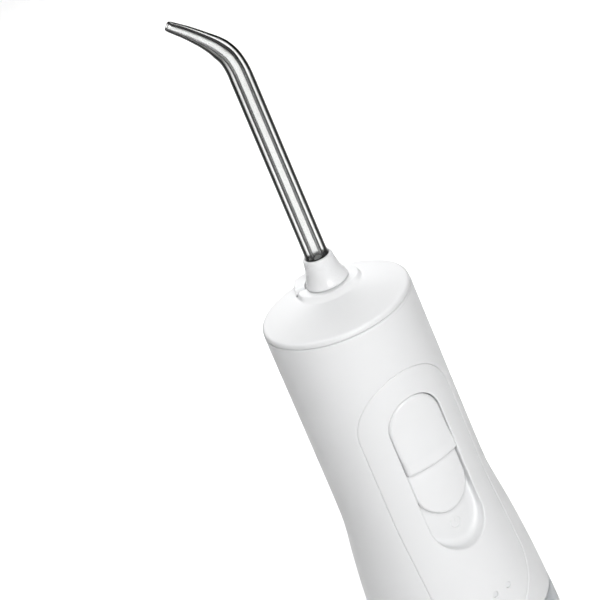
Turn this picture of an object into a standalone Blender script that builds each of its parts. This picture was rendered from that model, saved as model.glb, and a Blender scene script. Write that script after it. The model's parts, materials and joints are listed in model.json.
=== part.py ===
"""Cordless water flosser: handle, pump drive, detachable tank and swivelling nozzle.

The part stands on its foot with the origin at the centre of the underside.
+Z runs up the body's axis and the slide switch faces -Y.
Lengths below are millimetres; the makers turn them into Blender's metres.
"""
import math

import bmesh
import bpy
from mathutils import Vector

MM = 0.001
BODY_STEPS = 40          # sides of the large round pieces

# Overall sizes
BODY_RADIUS = 22.5
TANK_HEIGHT = 84.0
HANDLE_HEIGHT = 108.0
FLARE = 5.7              # how much wider the tank is than the top of the handle
FLARE_LENGTH = 31.0      # height over which most of the flare happens
FLARE_BELOW_SEAM = 66.0
FLARE_BLEND = 4.0
HOUSING_WALL = 2.6
TANK_WALL = 2.5
TANK_FLOOR = 1.9
FOOT_THICKNESS = 1.8
FOOT_RADIUS = 22.0

# Clearances
GAP = 0.3                # between neighbouring pieces
SEAL_GAP = 0.15          # around rings that seal

# Cap and its raised cluster
CAP_THICKNESS = 1.6
CAP_PLATE = 2.8
SKIRT_DEPTH = 6.5
SKIRT_WALL = 1.8
CLUSTER_TURN = math.radians(-24.0)
NOZZLE_OFFSET = 11.3
BOSS_RADIUS = 9.9
BOSS_FLAT = 7.6
BOSS_HEIGHT = 1.4
BUTTON_TOP = 2.4         # above the cap
BUTTON_TRAVEL = 1.0
BUTTON_HEAD = 2.1
BUTTON_LEFT = 9.9
BUTTON_RIGHT = 4.5
BUTTON_FRONT = 12.2

# Nozzle
TUBE_RADIUS = 3.42
TUBE_BORE = 1.2
TUBE_STRAIGHT = 70.8
TIP_RADIUS = 1.48
COLLAR_RADIUS = 6.4
COLLAR_HEIGHT = 8.7
SHANK_DEPTH = 20.8
LATCH_DEPTH = 14.2       # groove below the collar
GROOVE = 0.75            # depth of the shank's grooves

# Switch and panel
PANEL_HALF = 16.3
PANEL_BELOW_SEAM = 17.0
PANEL_ABOVE_SPLIT = 3.6
PANEL_THICKNESS = 1.0
RECESS_HALF = 9.0
RECESS_TOP = 25.3        # below the seam
RECESS_LENGTH = 51.1
RECESS_DEPTH = 3.3
RAIL_HEIGHT = 1.2
RAIL_REACH = 0.9
SWITCH_LENGTH = 38.9
SWITCH_STEP = 22.0       # from the slider's top to the step under the thumb ridge
SWITCH_RIDGE = 5.0
PAD_WALL = 1.8
MODE_RADIUS = 3.0
MODE_LIP = 0.5
MODE_ABOVE_SPLIT = 8.0
LED_ABOVE_SPLIT = 14.0
LED_SPACING = 5.0
LED_RADIUS = 0.9

# Pump drive
MOTOR_RADIUS = 10.0
MOTOR_LENGTH = 26.0
MOTOR_X = -8.0
MOTOR_Y = 3.0
GEAR_TEETH = 32
PINION_TEETH = 8
GEAR_RADIUS = 9.0
TOOTH_DEPTH = 1.5
FACE_WIDTH = 1.6
SLOT_WIDTH = 1.05
MESH_OFFSET = 1.8        # pinion axis in front of the face gear's tooth tops
YOKE_OFFSET = 5.85       # middle of the yoke behind the tooth tops
GEAR_ABOVE_SPLIT = 32.6
CRANK_THROW = 2.0
CRANK_PIN = 1.2
AXLE_RADIUS = 1.2
CYLINDER_BORE = 4.3
CYLINDER_WALL = 1.7
BATTERY_RADIUS = 7.1
BATTERY_LENGTH = 50.0
BATTERY_X = 12.0
DIVIDER = 1.6
HOSE_RADIUS = 2.0
HOSE_BORE = 1.3
BOARD_HALF = 6.8
BOARD_THICKNESS = 1.4

# Tank fittings
LID_WIDTH = 22.0
LID_HEIGHT = 18.0
LID_BELOW_SPLIT = 18.0   # lid centre below the tank's top
LID_THICKNESS = 1.4
PLUG_WIDTH = 13.0
PLUG_HEIGHT = 9.0
FILTER_RADIUS = 4.0
PORT_WIDTH = 9.4
PORT_HEIGHT = 3.8
PORT_ABOVE_SPLIT = 11.6
COVER_WIDTH = 15.0
COVER_HEIGHT = 9.6

# Heights that follow
SPLIT = TANK_HEIGHT
HANDLE_LOW = SPLIT + GAP + 0.1
BULKHEAD_LOW = HANDLE_LOW + 0.6
BULKHEAD_TOP = BULKHEAD_LOW + 3.6
SEAM = SPLIT + HANDLE_HEIGHT
HANDLE_TOP = SEAM - GAP
CAP_TOP = SEAM + CAP_THICKNESS
INNER_RADIUS = BODY_RADIUS - HOUSING_WALL
FLOOR_RADIUS = BODY_RADIUS - RECESS_DEPTH
PAD_RADIUS = FLOOR_RADIUS - PAD_WALL


def outer_radius(z):
    """Radius of the outside at height z: straight above, flaring smoothly to the tank."""
    below = SEAM - FLARE_BELOW_SEAM - z
    run = (math.hypot(below, FLARE_BLEND) + below) / 2
    return BODY_RADIUS + FLARE * (1 - math.exp(-run / FLARE_LENGTH))


# ---------------------------------------------------------------- makers

def clear_scene():
    for thing in list(bpy.data.objects):
        bpy.data.objects.remove(thing, do_unlink=True)


def make_material(name, color, roughness, metallic=0.0):
    look = bpy.data.materials.new(name)
    look.use_nodes = True
    shader = look.node_tree.nodes["Principled BSDF"]
    shader.inputs["Base Color"].default_value = (*color, 1.0)
    shader.inputs["Roughness"].default_value = roughness
    shader.inputs["Metallic"].default_value = metallic
    return look


def add_mesh(name, points, faces, look=None):
    """Make one object from points in millimetres, with its faces turned outwards."""
    mesh = bpy.data.meshes.new(name)
    mesh.from_pydata([Vector(p) * MM for p in points], [], faces)
    work = bmesh.new()
    work.from_mesh(mesh)
    bmesh.ops.recalc_face_normals(work, faces=work.faces)
    work.to_mesh(mesh)
    work.free()
    mesh.shade_smooth()
    mesh.set_sharp_from_angle(angle=math.radians(35))
    thing = bpy.data.objects.new(name, mesh)
    bpy.context.collection.objects.link(thing)
    if look:
        mesh.materials.append(look)
    else:
        thing.hide_render = True
        thing.display_type = "WIRE"
    return thing


def at(x, y, z):
    return Vector((x, y, z)) * MM


def turned(name, profile, look=None, steps=32, centre=(0, 0, 0)):
    """Solid of revolution about Z from a closed outline of (radius, height) points."""
    rings = []
    points = []
    for radius, height in profile:
        if radius == 0:
            rings.append([len(points)] * steps)
            points.append((0, 0, height))
            continue
        rings.append([len(points) + k for k in range(steps)])
        for k in range(steps):
            angle = 2 * math.pi * k / steps
            points.append((radius * math.cos(angle), radius * math.sin(angle), height))
    faces = []
    for low, high in zip(rings, rings[1:] + rings[:1]):
        for k in range(steps):
            corners = (low[k], low[(k + 1) % steps], high[(k + 1) % steps], high[k])
            distinct = list(dict.fromkeys(corners))
            if len(distinct) > 2:
                faces.append(distinct)
    thing = add_mesh(name, points, faces, look)
    thing.location = at(*centre)
    return thing


def cylinder(name, radius, low, high, look=None, steps=24, centre=(0, 0, 0)):
    return turned(name, [(0, low), (radius, low), (radius, high), (0, high)], look, steps, centre)


def ring(name, inner, outer, low, high, look=None, steps=24, centre=(0, 0, 0)):
    profile = [(inner, low), (outer, low), (outer, high), (inner, high)]
    return turned(name, profile, look, steps, centre)


def prism(name, outline, low, high, look=None, along="Z"):
    """Extrude an outline between two distances along an axis.

    Outline points are (x, y) along Z, (x, z) along Y and (y, z) along X.
    """
    place = {"Z": lambda a, b, c: (a, b, c), "Y": lambda a, b, c: (a, c, b),
             "X": lambda a, b, c: (c, a, b)}[along]
    count = len(outline)
    points = [place(a, b, low) for a, b in outline] + [place(a, b, high) for a, b in outline]
    faces = [list(range(count)), list(range(count, 2 * count))]
    faces += [(k, (k + 1) % count, count + (k + 1) % count, count + k) for k in range(count)]
    return add_mesh(name, points, faces, look)


def box(name, low, high, look=None):
    outline = [(low[0], low[1]), (high[0], low[1]), (high[0], high[1]), (low[0], high[1])]
    return prism(name, outline, low[2], high[2], look)


def rod(name, radius, low, high, along, a, b, look=None, steps=16):
    """Round bar along an axis; a and b place it as prism's outline coordinates."""
    turn = [2 * math.pi * (k + 0.5) / steps for k in range(steps)]
    outline = [(a + radius * math.cos(t), b + radius * math.sin(t)) for t in turn]
    return prism(name, outline, low, high, look, along)


def stadium(half, low, high, steps=12):
    """Upright slot outline with half-round ends, in (across, up) coordinates."""
    top = [math.pi * k / steps for k in range(steps + 1)]
    upper = [(half * math.cos(t), high - half + half * math.sin(t)) for t in top]
    lower = [(-half * math.cos(t), low + half - half * math.sin(t)) for t in top]
    return upper + lower


def rounded(width, height, radius, centre, steps=4):
    """Rectangle with round corners, in (across, up) coordinates."""
    outline = []
    for quarter, (sx, sy) in enumerate(((1, 1), (-1, 1), (-1, -1), (1, -1))):
        cx = centre[0] + sx * (width / 2 - radius)
        cy = centre[1] + sy * (height / 2 - radius)
        for k in range(steps + 1):
            angle = math.pi / 2 * (quarter + k / steps)
            outline.append((cx + radius * math.cos(angle), cy + radius * math.sin(angle)))
    return outline


def shell_levels(low, high):
    """Heights from low to high, close together only where the outside curves."""
    straight = SEAM - FLARE_BELOW_SEAM + 3 * FLARE_BLEND
    bend = [straight - drop for drop in (6, 14, 24, 38, 58, 90)]
    inner = [z for z in bend + [straight] if low + 2 < z < high - 2]
    return [low] + sorted(inner) + [high]


def skin(name, inside, outside, low, high, look=None, steps=BODY_STEPS):
    """Shell that follows the outside, between two depths below it."""
    levels = shell_levels(low, high)
    outer = [(outer_radius(z) - outside, z) for z in levels]
    inner = [(outer_radius(z) - inside, z) for z in reversed(levels)]
    return turned(name, outer + inner, look, steps)


def combine(thing, tools, operation):
    for tool in tools:
        step = thing.modifiers.new(tool.name, "BOOLEAN")
        step.operation = operation
        step.object = tool
        step.solver = "EXACT"


def carve(thing, *tools):
    combine(thing, tools, "DIFFERENCE")


def weld(thing, *tools):
    combine(thing, tools, "UNION")


def keep(thing, *tools):
    combine(thing, tools, "INTERSECT")


def pivot(name, place, parent=None, turn=0.0):
    """Empty on a joint's axis, or one that turns a group of pieces."""
    empty = bpy.data.objects.new(name, None)
    bpy.context.collection.objects.link(empty)
    empty.location = at(*place)
    empty.rotation_euler[2] = turn
    empty.parent = parent
    return empty


def hang(empty, *things):
    """Parent things drawn in the model's frame to a pivot, leaving them in place."""
    for thing in things:
        thing.parent = empty
        thing.location = thing.location - empty.location


def within(empty, *things):
    """Parent things drawn in the pivot's own frame."""
    for thing in things:
        thing.parent = empty


def smooth_route(points, steps):
    """Catmull-Rom curve through points, with steps pieces for each span."""
    spots = [Vector(p) for p in points]
    padded = [2 * spots[0] - spots[1]] + spots + [2 * spots[-1] - spots[-2]]
    route = []
    for a, b, c, d in zip(padded, padded[1:], padded[2:], padded[3:]):
        for k in range(steps):
            t = k / steps
            route.append(0.5 * (2 * b + (c - a) * t + (2 * a - 5 * b + 4 * c - d) * t ** 2
                                + (3 * b - a - 3 * c + d) * t ** 3))
    return route + [spots[-1]]


def pipe(name, route, outer, inner, look, steps=12):
    """Open-ended pipe along a route; outer and inner are one radius per route point."""
    points = []
    side = Vector((0.0, 0.0, 1.0)).cross(route[-1] - route[0])
    side = side.normalized() if side.length > 1e-6 else Vector((1.0, 0.0, 0.0))
    for k, spot in enumerate(route):
        ahead = next((p for p in route[k + 1:] if (p - spot).length > 1e-6), spot)
        behind = next((p for p in reversed(route[:k]) if (p - spot).length > 1e-6), spot)
        run = (ahead - behind).normalized()
        side = (side - run * side.dot(run)).normalized()
        up = run.cross(side)
        for radius in (outer[k], inner[k]):
            for j in range(steps):
                angle = 2 * math.pi * j / steps
                points.append(spot + radius * (math.cos(angle) * side + math.sin(angle) * up))
    faces = []
    last = len(route) - 1
    for j in range(steps):
        nxt = (j + 1) % steps
        for k in range(last):
            here = 2 * steps * k
            there = here + 2 * steps
            faces.append((here + j, here + nxt, there + nxt, there + j))
            faces.append((here + steps + j, there + steps + j, there + steps + nxt, here + steps + nxt))
        end = 2 * steps * last
        faces.append((j, steps + j, steps + nxt, nxt))
        faces.append((end + j, end + nxt, end + steps + nxt, end + steps + j))
    return add_mesh(name, points, faces, look)


# ---------------------------------------------------------------- sub-parts

def build_housing(looks):
    """Outer shell of the handle, its panel, slide switch and mode button."""
    soft = looks["grey_rubber"]
    levels = shell_levels(HANDLE_LOW, HANDLE_TOP - 0.5)
    outer = [(outer_radius(z), z) for z in levels] + [(BODY_RADIUS - 0.5, HANDLE_TOP)]
    inner = [(INNER_RADIUS, HANDLE_TOP)]
    inner += [(outer_radius(z) - HOUSING_WALL, z) for z in reversed(levels)]
    housing = turned("housing_shell", outer + inner, looks["housing"], BODY_STEPS)

    recess_top = SEAM - RECESS_TOP
    recess_low = recess_top - RECESS_LENGTH
    rail = RECESS_HALF + RAIL_REACH
    rim = rail + PAD_WALL - RAIL_REACH
    depth = BODY_RADIUS + FLARE + 5

    pad = prism("pad_outline", stadium(rim, recess_low - 2.7, recess_top + 2.7), -depth, 0, None, "Y")
    pad_ring_levels = shell_levels(recess_low - 4, recess_top + 4)
    pad_profile = [(outer_radius(z) - 1.6, z) for z in pad_ring_levels]
    pad_profile += [(PAD_RADIUS, pad_ring_levels[-1]), (PAD_RADIUS, pad_ring_levels[0])]
    keep(pad, turned("pad_ring", pad_profile, None, BODY_STEPS))
    weld(housing, pad)

    panel_low = HANDLE_LOW + PANEL_ABOVE_SPLIT
    panel_top = SEAM - PANEL_BELOW_SEAM
    pocket = prism("panel_pocket", stadium(PANEL_HALF + GAP, panel_low - GAP, panel_top + GAP),
                   -depth, 0, None, "Y")
    keep(pocket, skin("pocket_skin", PANEL_THICKNESS + GAP, -3, panel_low - 2, panel_top + 2))
    carve(housing, pocket)

    opening = prism("switch_opening", stadium(RECESS_HALF, recess_low, recess_top), -depth, 0, None, "Y")
    lip = FLOOR_RADIUS + RAIL_HEIGHT
    carve(opening, turned("recess_core", [(0, recess_low - 5), (lip, recess_low - 5),
                                          (lip, recess_top + 5), (0, recess_top + 5)], None, BODY_STEPS))
    channel = prism("switch_channel", stadium(rail, recess_low - RAIL_REACH, recess_top + RAIL_REACH),
                    -depth, 0, None, "Y")
    keep(channel, turned("channel_ring", [(FLOOR_RADIUS, recess_low - 5),
                                          (FLOOR_RADIUS + RAIL_HEIGHT + GAP, recess_low - 5),
                                          (FLOOR_RADIUS + RAIL_HEIGHT + GAP, recess_top + 5),
                                          (FLOOR_RADIUS, recess_top + 5)], None, BODY_STEPS))
    carve(housing, opening, channel)

    panel = prism("control_panel", stadium(PANEL_HALF, panel_low, panel_top), -depth, 0,
                  looks["panel"], "Y")
    keep(panel, skin("panel_skin", PANEL_THICKNESS, 0, panel_low - 2, panel_top + 2))
    carve(panel, opening)

    mode_z = HANDLE_LOW + MODE_ABOVE_SPLIT
    mode_hole = rod("mode_hole", MODE_RADIUS + GAP, -depth, -BODY_RADIUS + 5, "Y", 0, mode_z, None, 24)
    carve(housing, mode_hole)
    carve(panel, mode_hole)
    led_z = HANDLE_LOW + LED_ABOVE_SPLIT
    board_front = -(PAD_RADIUS - 2.0)
    for number, x in enumerate((-LED_SPACING, 0.0, LED_SPACING), 1):
        face = -math.sqrt(outer_radius(led_z) ** 2 - x ** 2) + 0.2
        hole = rod(f"led_hole_{number}", LED_RADIUS + GAP, -depth, -BODY_RADIUS + 5, "Y", x, led_z)
        carve(housing, hole)
        carve(panel, hole)
        rod(f"led_window_{number}", LED_RADIUS, face, board_front - GAP, "Y", x, led_z, looks["lens"], 12)

    build_switch(looks, recess_top)

    mode_face = -(outer_radius(mode_z) + 0.5)
    shoulder = -(outer_radius(mode_z) - HOUSING_WALL - 1.1)
    button = rod("mode_button", MODE_RADIUS, mode_face, shoulder + 0.5, "Y", 0, mode_z, soft, 24)
    weld(button, rod("mode_flange", MODE_RADIUS + MODE_LIP, shoulder, shoulder + 1.0, "Y", 0, mode_z),
         rod("mode_stem", 1.4, shoulder, board_front - 3.1, "Y", 0, mode_z))
    return housing


def build_switch(looks, recess_top):
    """Slider in its upper place, held by a flange that runs under the recess's edges."""
    top = recess_top - GAP
    low = top - SWITCH_LENGTH
    step = top - SWITCH_STEP
    base = FLOOR_RADIUS + GAP
    rail_top = FLOOR_RADIUS + RAIL_HEIGHT
    core = base + 0.5
    profile = [(core, low - 2), (BODY_RADIUS - 1.2, low - 2), (BODY_RADIUS - 1.2, step),
               (BODY_RADIUS + 0.5, step + 0.3), (BODY_RADIUS + 0.4, step + SWITCH_RIDGE),
               (BODY_RADIUS - 0.3, step + SWITCH_RIDGE + 5), (BODY_RADIUS - 0.5, step + 14),
               (BODY_RADIUS - 0.1, top - 2), (BODY_RADIUS - 0.1, top + 2), (core, top + 2)]
    half = RECESS_HALF - GAP
    switch = prism("slide_switch", stadium(half, low, top), -BODY_RADIUS - 5, 0, looks["switch"], "Y")
    keep(switch, turned("switch_profile", profile, None, BODY_STEPS))
    reach = RAIL_REACH - GAP
    flange = prism("switch_flange", stadium(half + reach, low - reach, top + reach),
                   -BODY_RADIUS - 5, 0, None, "Y")
    keep(flange, turned("flange_ring", [(base, low - 5), (rail_top, low - 5),
                                        (rail_top, top + 5), (base, top + 5)], None, BODY_STEPS))
    weld(switch, flange)
    magnet_z = low + 10
    face = -(base + 0.2)
    carve(switch, box("magnet_pocket", (-2.3, face - 1.3, magnet_z - 3.3), (2.3, 0, magnet_z + 3.3)))
    box("switch_magnet", (-2, face - 1.0, magnet_z - 3), (2, face, magnet_z + 3), looks["steel"])
    sensor = -(PAD_RADIUS - 2.0) - GAP
    box("hall_sensor", (-1.6, sensor - 1.0, magnet_z - 1.5), (1.6, sensor, magnet_z + 1.5), looks["black"])


def build_electronics(looks):
    """Control board, its push switch, the cell and the charging socket with its flap."""
    front = -(PAD_RADIUS - 2.0)
    box("control_board", (-BOARD_HALF, front, HANDLE_LOW + 5.6),
        (BOARD_HALF, front + BOARD_THICKNESS, HANDLE_LOW + 66), looks["board"])
    mode_z = HANDLE_LOW + MODE_ABOVE_SPLIT
    box("tact_switch", (-3, front - 2.3, mode_z - 2.5), (3, front - GAP, mode_z + 2.5), looks["black"])

    low = HANDLE_LOW + 9.6
    high = low + BATTERY_LENGTH
    turned("battery_cell", [(0, low), (BATTERY_RADIUS, low), (BATTERY_RADIUS, high), (2.6, high),
                            (2.6, high + 1), (0, high + 1)], looks["cell"], 28, (BATTERY_X, 0, 0))

    port_z = HANDLE_LOW + PORT_ABOVE_SPLIT
    radius = outer_radius(port_z)
    mouth = math.sqrt((radius - 1.5) ** 2 - (PORT_WIDTH / 2) ** 2) - GAP
    shape = rounded(PORT_WIDTH, PORT_HEIGHT, 1.8, (0, port_z))
    port = prism("charge_port", shape, mouth - 7, mouth, looks["steel"], "Y")
    carve(port, prism("port_inside", rounded(PORT_WIDTH - 1.2, PORT_HEIGHT - 1.2, 1.2, (0, port_z)),
                      mouth - 6, mouth + 2, None, "Y"))
    weld(port, box("port_tongue", (-3, mouth - 6.5, port_z - 0.35), (3, mouth - 1, port_z + 0.35)))

    cover = inlay("port_cover", COVER_WIDTH, COVER_HEIGHT, port_z, 1.2, looks["grey_rubber"])
    hang(pivot("port_cover_hinge", (0, radius - 0.2, port_z + COVER_HEIGHT / 2 - 0.4)), cover)
    return (pocket_tool("cover_pocket", COVER_WIDTH, COVER_HEIGHT, port_z, 1.2),
            prism("port_hole", rounded(PORT_WIDTH + 2 * GAP, PORT_HEIGHT + 2 * GAP, 2.0, (0, port_z)),
                  BODY_RADIUS - 4, radius + 5, None, "Y"))


def inlay(name, width, height, z, thickness, look):
    """Plate set flush into the back of the body."""
    plate = prism(name, rounded(width, height, 2.5, (0, z)), 0, BODY_RADIUS + FLARE + 5, look, "Y")
    keep(plate, skin(name + "_skin", thickness, 0, z - height, z + height))
    return plate


def pocket_tool(name, width, height, z, thickness):
    tool = prism(name, rounded(width + 2 * GAP, height + 2 * GAP, 2.5 + GAP, (0, z)),
                 0, BODY_RADIUS + FLARE + 5, None, "Y")
    keep(tool, skin(name + "_skin", thickness + GAP, -3, z - height, z + height))
    return tool


def build_drive(looks):
    """Motor, pinion, face gear with its crank pin, yoke, pump and the frame that holds them."""
    steel, plastic = looks["steel"], looks["frame"]
    gear_z = HANDLE_LOW + GEAR_ABOVE_SPLIT
    face_y = MOTOR_Y - MESH_OFFSET
    pump_y = face_y - YOKE_OFFSET
    shelf_low = gear_z + GEAR_RADIUS + 1.6
    shelf_high = shelf_low + 1.8
    motor_low = shelf_high + GAP
    motor_high = motor_low + MOTOR_LENGTH
    place = (MOTOR_X, MOTOR_Y, 0)

    motor = turned("motor_can", [(0, motor_low + 11), (1.0, motor_low + 11), (1.0, motor_low),
                                 (MOTOR_RADIUS, motor_low), (MOTOR_RADIUS, motor_high),
                                 (3, motor_high), (3, motor_high + 1.5), (0, motor_high + 1.5)],
                   steel, 32, place)
    rotor = pivot("motor_axis", place)
    shaft = cylinder("motor_shaft", 0.75, gear_z + 7.6, motor_low + 10.5, looks["dark_steel"], 12)
    pinion = prism("pinion", tooth_outline(PINION_TEETH, 1.4, 2.55), gear_z + GEAR_RADIUS - 1,
                   gear_z + GEAR_RADIUS + 1, looks["brass"])
    bore = cylinder("pinion_bore", 0.95, gear_z, gear_z + 20, None, 12)
    carve(pinion, bore)
    within(rotor, shaft, pinion, bore)

    crank = pivot("crank_axis", (MOTOR_X, face_y, gear_z))
    crank.rotation_euler[0] = math.radians(-90)
    rim = GEAR_RADIUS + FACE_WIDTH / 2
    gear = turned("crown_gear", [(AXLE_RADIUS + 0.25, -4), (rim, -4), (rim, 0), (rim - FACE_WIDTH, 0),
                                 (rim - FACE_WIDTH, -1.8), (3, -1.8), (3, -0.6),
                                 (AXLE_RADIUS + 0.25, -0.6)], looks["gear"], GEAR_TEETH)
    weld(gear, cylinder("crank_pin", CRANK_PIN, -7.4, -3.5, None, 16, (CRANK_THROW, 0, 0)))
    slots = slot_bars("gear_slots", rim)
    carve(gear, slots)
    within(crank, gear, slots, bpy.data.objects["crank_pin"])

    bracket_low = MOTOR_Y + 3.2
    bracket_high = bracket_low + 2.6
    rod("gear_axle", AXLE_RADIUS, face_y - 3.1, bracket_high - 0.2, "Y", MOTOR_X, gear_z,
        looks["dark_steel"])
    divider_x = MOTOR_X + MOTOR_RADIUS + 0.6
    foot = BULKHEAD_TOP + GAP
    frame = box("chassis", (divider_x, -12, foot), (divider_x + DIVIDER, 12, gear_z + 34), plastic)
    weld(frame, box("shelf", (MOTOR_X - 7, -6, shelf_low), (divider_x + 0.5, 10, shelf_high)),
         box("bracket", (MOTOR_X - 4, bracket_low, gear_z - 4.5),
             (MOTOR_X + 4, bracket_high, shelf_low + 0.5)),
         box("foot_back", (divider_x + 0.5, 8.8, foot), (divider_x + 6.4, 12, foot + 3.4)),
         box("foot_front", (divider_x + 0.5, -12, foot), (divider_x + 6.4, -8.8, foot + 3.4)))
    carve(frame, rod("axle_hole", AXLE_RADIUS + GAP, bracket_low - 1, bracket_high + 1, "Y", MOTOR_X, gear_z),
          cylinder("shaft_hole", 2.0, shelf_low - 1, shelf_high + 1, None, 16, place))
    for number, side in ((1, -1), (2, 1)):
        x = MOTOR_X + 6 * side
        spot = (x, MOTOR_Y, 0)
        screw = cylinder(f"motor_screw_{number}", 0.9, shelf_low - 0.6, motor_low + 3, steel, 12, spot)
        weld(screw, cylinder(f"motor_screw_head_{number}", 1.7, shelf_low - 1.4, shelf_low - GAP, None,
                             12, spot))
        hole = cylinder(f"motor_screw_hole_{number}", 1.2, shelf_low - 3, motor_low + 3.4, None, 12, spot)
        carve(frame, hole)
        carve(motor, hole)
        y = 10.4 * side
        spot = (divider_x + 3.8, y, 0)
        screw = cylinder(f"bulkhead_screw_{number}", 1.1, BULKHEAD_LOW - 1, foot + 2.6, steel, 12, spot)
        weld(screw, cylinder(f"bulkhead_screw_head_{number}", 2.1, BULKHEAD_LOW - 1.5,
                             BULKHEAD_LOW - GAP, None, 12, spot))
        hole = cylinder(f"bulkhead_screw_hole_{number}", 1.4, BULKHEAD_LOW - 3, foot + 3, None, 12, spot)
        carve(frame, hole)
        carve(bpy.data.objects["bulkhead"], hole)
    build_pump(looks, gear_z, pump_y)


def tooth_outline(teeth, root, tip):
    """Simple straight-sided gear outline with a tooth centred on +X."""
    outline = []
    for k in range(teeth):
        centre = 2 * math.pi * k / teeth
        for radius, turn in ((root, -0.25), (tip, -0.1), (tip, 0.1), (root, 0.25)):
            angle = centre + turn
            outline.append((radius * math.cos(angle), radius * math.sin(angle)))
    return outline


def slot_bars(name, rim):
    """Radial bars that cut the face gear's tooth spaces, as one mesh of separate blocks."""
    points = []
    faces = []
    inner = rim - FACE_WIDTH - 0.3
    outer = rim + 0.5
    for k in range(GEAR_TEETH):
        angle = 2 * math.pi * k / GEAR_TEETH
        along = Vector((math.cos(angle), math.sin(angle), 0))
        across = Vector((-math.sin(angle), math.cos(angle), 0)) * SLOT_WIDTH / 2
        start = len(points)
        for height in (-TOOTH_DEPTH, 1.0):
            lift = Vector((0, 0, height))
            for reach, side in ((inner, -1), (outer, -1), (outer, 1), (inner, 1)):
                points.append(along * reach + across * side + lift)
        for quad in ((0, 3, 2, 1), (4, 5, 6, 7), (0, 1, 5, 4), (1, 2, 6, 5), (2, 3, 7, 6), (3, 0, 4, 7)):
            faces.append([start + corner for corner in quad])
    return add_mesh(name, points, faces)


def build_pump(looks, gear_z, pump_y):
    """Scotch yoke and piston, the cylinder, its valves and the hose to the nozzle."""
    centre = (MOTOR_X, pump_y, 0)
    slot_half = CRANK_THROW + CRANK_PIN + GAP
    slot_rise = 2 * CRANK_THROW + CRANK_PIN + GAP
    frame_half = slot_half + 2.4
    frame_rise = slot_rise + 2.2
    near = pump_y - 1.2
    far = pump_y + 1.2
    base = BULKHEAD_TOP + GAP
    block_top = base + 4.0
    barrel_low = block_top + GAP
    head_low = barrel_low + 5.8
    yoke = box("piston_yoke", (MOTOR_X - frame_half, near, gear_z - frame_rise),
               (MOTOR_X + frame_half, far, gear_z + frame_rise), looks["gear"])
    carve(yoke, box("yoke_slot", (MOTOR_X - slot_half, near - 1, gear_z - slot_rise),
                    (MOTOR_X + slot_half, far + 1, gear_z + slot_rise)))
    piston = CYLINDER_BORE - GAP
    groove = piston - GROOVE
    weld(yoke, turned("piston_rod", [(0, head_low), (piston, head_low), (piston, head_low + 1.0),
                                     (groove, head_low + 1.0), (groove, head_low + 2.6),
                                     (piston, head_low + 2.6), (piston, head_low + 3.6),
                                     (1.2, head_low + 3.6), (1.2, gear_z - frame_rise + 1),
                                     (0, gear_z - frame_rise + 1)], None, 24, centre))
    ring("piston_seal", groove + 0.1, CYLINDER_BORE - SEAL_GAP, head_low + 1.1, head_low + 2.5,
         looks["black_rubber"], 24, centre)

    barrel_top = gear_z - frame_rise - CRANK_THROW - 2 * GAP
    outer = CYLINDER_BORE + CYLINDER_WALL
    barrel = turned("pump_cylinder", [(0, barrel_low), (outer, barrel_low), (outer, barrel_top),
                                      (CYLINDER_BORE, barrel_top), (CYLINDER_BORE, barrel_low + 2),
                                      (0, barrel_low + 2)], looks["frame"], 24, centre)
    block = box("valve_block", (MOTOR_X - 8, pump_y - 6, base), (MOTOR_X + 8, pump_y + 6, block_top),
                looks["frame"])
    hose_z = base + 2.0
    barb = rod("outlet_barb", 0.9, pump_y + 5, pump_y + 9.5, "Y", MOTOR_X, hose_z, None, 12)
    weld(block, barb)
    for name, side in (("inlet_valve", -1), ("outlet_valve", 1)):
        spot = (MOTOR_X + 2.6 * side, pump_y, 0)
        carve(block, cylinder(name + "_pocket", 2.0, block_top - 1.5, block_top + 1, None, 16, spot))
        carve(barrel, cylinder(name + "_port", 1.0, barrel_low - 1, barrel_low + 3, None, 12, spot))
        cylinder(name, 1.7, block_top - 1.2, block_top - 0.2, looks["black_rubber"], 16, spot)

    nozzle = nozzle_place()
    top = SEAM - 22.7
    behind = MOTOR_Y + MOTOR_RADIUS + HOSE_RADIUS + 1
    route = [(MOTOR_X, pump_y + 6.6, hose_z), (MOTOR_X, pump_y + 11, hose_z),
             (MOTOR_X, behind - 3.6, hose_z + 2), (MOTOR_X + 0.5, behind - 0.8, hose_z + 8),
             (MOTOR_X + 1.5, behind, hose_z + 16), (MOTOR_X + 3, behind, gear_z + 8),
             (MOTOR_X + 5, behind - 0.2, gear_z + 28), (nozzle[0] - 4.6, nozzle[1] + 4.2, top - 13.4),
             (nozzle[0] - 1.0, nozzle[1] + 1.2, top - 8), (nozzle[0], nozzle[1], top - 3.5),
             (nozzle[0], nozzle[1], top)]
    path = smooth_route(route, 2)
    pipe("outlet_hose", path, [HOSE_RADIUS] * len(path), [HOSE_BORE] * len(path), looks["hose"], 8)


def nozzle_place():
    """Nozzle axis in the model's frame."""
    return (-NOZZLE_OFFSET * math.sin(CLUSTER_TURN), NOZZLE_OFFSET * math.cos(CLUSTER_TURN))


def button_outline(grow=0.0):
    """Eject button from above: straight left side, round back along the cap's rim."""
    back = BODY_RADIUS - 1.6 + grow
    left = -BUTTON_LEFT + 0.7 - grow
    right = BUTTON_RIGHT + grow
    start = math.atan2(math.sqrt(back ** 2 - right ** 2), right)
    end = math.atan2(math.sqrt(back ** 2 - left ** 2), left)
    arc = [start + (end - start) * k / 8 for k in range(9)]
    outline = [(back * math.cos(a), back * math.sin(a)) for a in arc]
    return outline + [(-BUTTON_LEFT - grow, BUTTON_FRONT - grow), (right, BUTTON_FRONT - grow)]


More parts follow.
